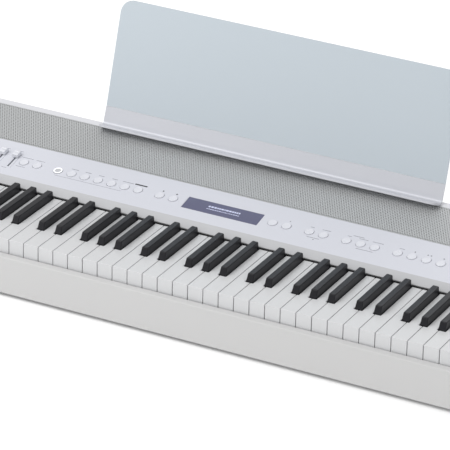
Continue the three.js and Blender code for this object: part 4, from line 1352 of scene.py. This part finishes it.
class PianoKeySettings(bpy.types.PropertyGroup):
    edge: size("Edge", "Radius of the white keys' top edges", 0.0007)
    corner: size("Corner", "Radius of the white keys' front corners", 0.0008)
    side_gap: size("Side Gap", "Gap between a black key and the white keys beside it", 0.0008)
    front_gap: size("Front Gap", "Gap in front of a black key, which it swings into when pressed", 0.0008)
    plate: size("Plate", "Thickness of a white key behind its front", 0.013)
    front_wall: size("Front Wall", "Thickness of a white key's front", 0.003)
    flare: size("Flare", "How far a black key's foot spreads", 0.0002)
    black_top_width: size("Black Top Width", "Width of a black key just under its top edges", 0.0094)
    black_edge: size("Black Edge", "Radius of a black key's top edges", 0.0014)
    black_slope: size("Black Slope", "How far a black key's front leans back", 0.005)


class PianoCaseSettings(bpy.types.PropertyGroup):
    end_edge: size("End Edge", "Radius of the end blocks' outer edges", 0.003)
    back_edge: size("Back Edge", "Radius of the rear strip's and rear panel's edges", 0.0006)
    lip_clearance: size("Lip Clearance", "Height of the lip's foot over the white keys", 0.0009)
    text_middle: size("Readout Place", "Middle of the display's figures from the display's own", 0.002, -1.0)
    button_gap: size("Button Gap", "Gap round a button in its hole", 0.0004)
    button_proud: size("Button Height", "How far a button stands out of the panel", 0.0009)


class PianoGrilleSettings(bpy.types.PropertyGroup):
    pitch: size("Hole Pitch", "Distance between neighbouring holes", 0.0038)
    hole: size("Hole Diameter", "Diameter of a hole", 0.0020)
    thickness: size("Thickness", "Thickness of the grille's sheet", 0.0010)


class PianoRestSettings(bpy.types.PropertyGroup):
    top_radius: size("Top Radius", "Radius of the plate's top corners", 0.020)
    ledge_radius: size("Ledge Radius", "Radius of the ledge's front corners", 0.011)
    thickness: size("Thickness", "Thickness of the rest's sheet", 0.003)
    plate_step: size("Plate Step", "How far the plate stands behind the band's face", 0.0004)
    tongue_spacing: size("Tongue Spacing", "Distance between the two tongues", 0.330)


class PianoColours(bpy.types.PropertyGroup):
    case: tint("Case", "Colour of the case", (0.655, 0.66, 0.69))
    panel: tint("Panel", "Colour of the control panel", (0.632, 0.643, 0.698))
    # the lip's colour is the panel's paint darkened as painted shade
    lip: tint("Lip", "Colour of the panel's lip", (0.51, 0.515, 0.53))
    # the keyslip's colour is the case paint darkened as painted shade
    keyslip: tint("Keyslip", "Colour of the rail in front of the keys", (0.575, 0.573, 0.572))
    white_keys: tint("White Keys", "Colour of the white keys", (0.63, 0.635, 0.645))
    black_keys: tint("Black Keys", "Colour of the black keys", (0.010, 0.010, 0.0135))
    buttons: tint("Buttons", "Colour of the buttons", (0.69, 0.70, 0.75))
    lamp: tint("Lamp", "Colour of the middle of the lit button", (0.52, 0.53, 0.55))
    grille: tint("Grille", "Colour of the speaker grille", (0.49, 0.50, 0.505))
    rest: tint("Rest", "Colour of the music rest's plate", (0.54, 0.597, 0.642))
    # the ledge's colour is the plate's sheet lightened as a painted highlight
    ledge: tint("Ledge", "Colour of the music rest's ledge and band", (0.595, 0.605, 0.645))
    display: tint("Display", "Colour of the display", (0.10, 0.105, 0.19))
    marks: tint("Marks", "Colour of the printed marks", (0.22, 0.225, 0.26))


class PianoStageSettings(bpy.types.PropertyGroup):
    floor: tint("Floor", "Colour of the floor", (0.93, 0.93, 0.93))
    floor_lift: number("Floor Lift", "Light of the floor paper's own", 0.14)
    sky: tint("Sky", "Colour of the surrounding light", (1.0, 1.0, 1.0))
    sky_strength: number("Sky Strength", "Strength of the surrounding light", 0.65)
    key_power: number("Key Power", "Power of the main light", 52.0, "POWER")
    fill_power: number("Fill Power", "Power of the fill light", 15.0, "POWER")
    side_power: number("Side Power", "Power of the low light at the left", 8.0, "POWER")
    back_power: number("Back Power", "Power of the back light", 22.0, "POWER")
    yaw: number("Yaw", "Turn of the view from straight ahead", math.radians(-27.056), "ANGLE")
    pitch: number("Pitch", "How far the view looks down", math.radians(25.423), "ANGLE")
    roll: number("Roll", "Roll of the camera", math.radians(1.382), "ANGLE")
    lens: number("Lens", "Focal length in millimetres", 285.66)
    camera_offset: FloatVectorProperty(
        name="Camera Offset", description="Camera place from the middle of the white keys' front edge",
        default=(2.0661, -3.8456, 2.1562), size=3, subtype="XYZ", unit="LENGTH")


class PIANO_PT_panel(bpy.types.Panel):
    """Lists the piano's pieces and sizes"""

    bl_label = "Stage Piano"
    bl_idname = "PIANO_PT_panel"
    bl_space_type = "VIEW_3D"
    bl_region_type = "UI"
    bl_category = "Stage Piano"

    def draw(self, context):
        for operator in OPERATORS:
            self.layout.operator(operator.bl_idname)
        for name, group in SETTINGS.items():
            box = self.layout.box()
            box.label(text=group.__name__)
            for prop in group.__annotations__:
                box.prop(getattr(context.scene, name), prop)


OPERATORS = (
    PIANO_OT_stage, PIANO_OT_white_keys, PIANO_OT_black_keys, PIANO_OT_end_blocks, PIANO_OT_keyslip,
    PIANO_OT_control_panel, PIANO_OT_grille, PIANO_OT_back, PIANO_OT_buttons, PIANO_OT_sliders,
    PIANO_OT_panel_marks, PIANO_OT_display, PIANO_OT_music_rest, PIANO_OT_sockets, PIANO_OT_inner_works,
)
SETTINGS = {
    "piano_keys": PianoKeySettings, "piano_case": PianoCaseSettings, "piano_grille": PianoGrilleSettings,
    "piano_rest": PianoRestSettings, "piano_colours": PianoColours, "piano_stage": PianoStageSettings,
}


def register():
    """Registers the settings, the operators and the panel."""
    for name, group in SETTINGS.items():
        bpy.utils.register_class(group)
        setattr(bpy.types.Scene, name, PointerProperty(type=group))
    for operator in OPERATORS:
        bpy.utils.register_class(operator)
    bpy.utils.register_class(PIANO_PT_panel)


def unregister():
    """Takes away everything that register() added."""
    bpy.utils.unregister_class(PIANO_PT_panel)
    for operator in reversed(OPERATORS):
        bpy.utils.unregister_class(operator)
    for name, group in SETTINGS.items():
        delattr(bpy.types.Scene, name)
        bpy.utils.unregister_class(group)


def main():
    """Builds every piece."""
    register()
    bpy.ops.piano.stage()
    bpy.ops.piano.white_keys()
    bpy.ops.piano.black_keys()
    bpy.ops.piano.end_blocks()
    bpy.ops.piano.keyslip()
    bpy.ops.piano.control_panel()
    bpy.ops.piano.grille()
    bpy.ops.piano.back()
    bpy.ops.piano.buttons()
    bpy.ops.piano.sliders()
    bpy.ops.piano.panel_marks()
    bpy.ops.piano.display()
    bpy.ops.piano.music_rest()
    bpy.ops.piano.sockets()
    bpy.ops.piano.inner_works()


if __name__ == "__main__":
    main()
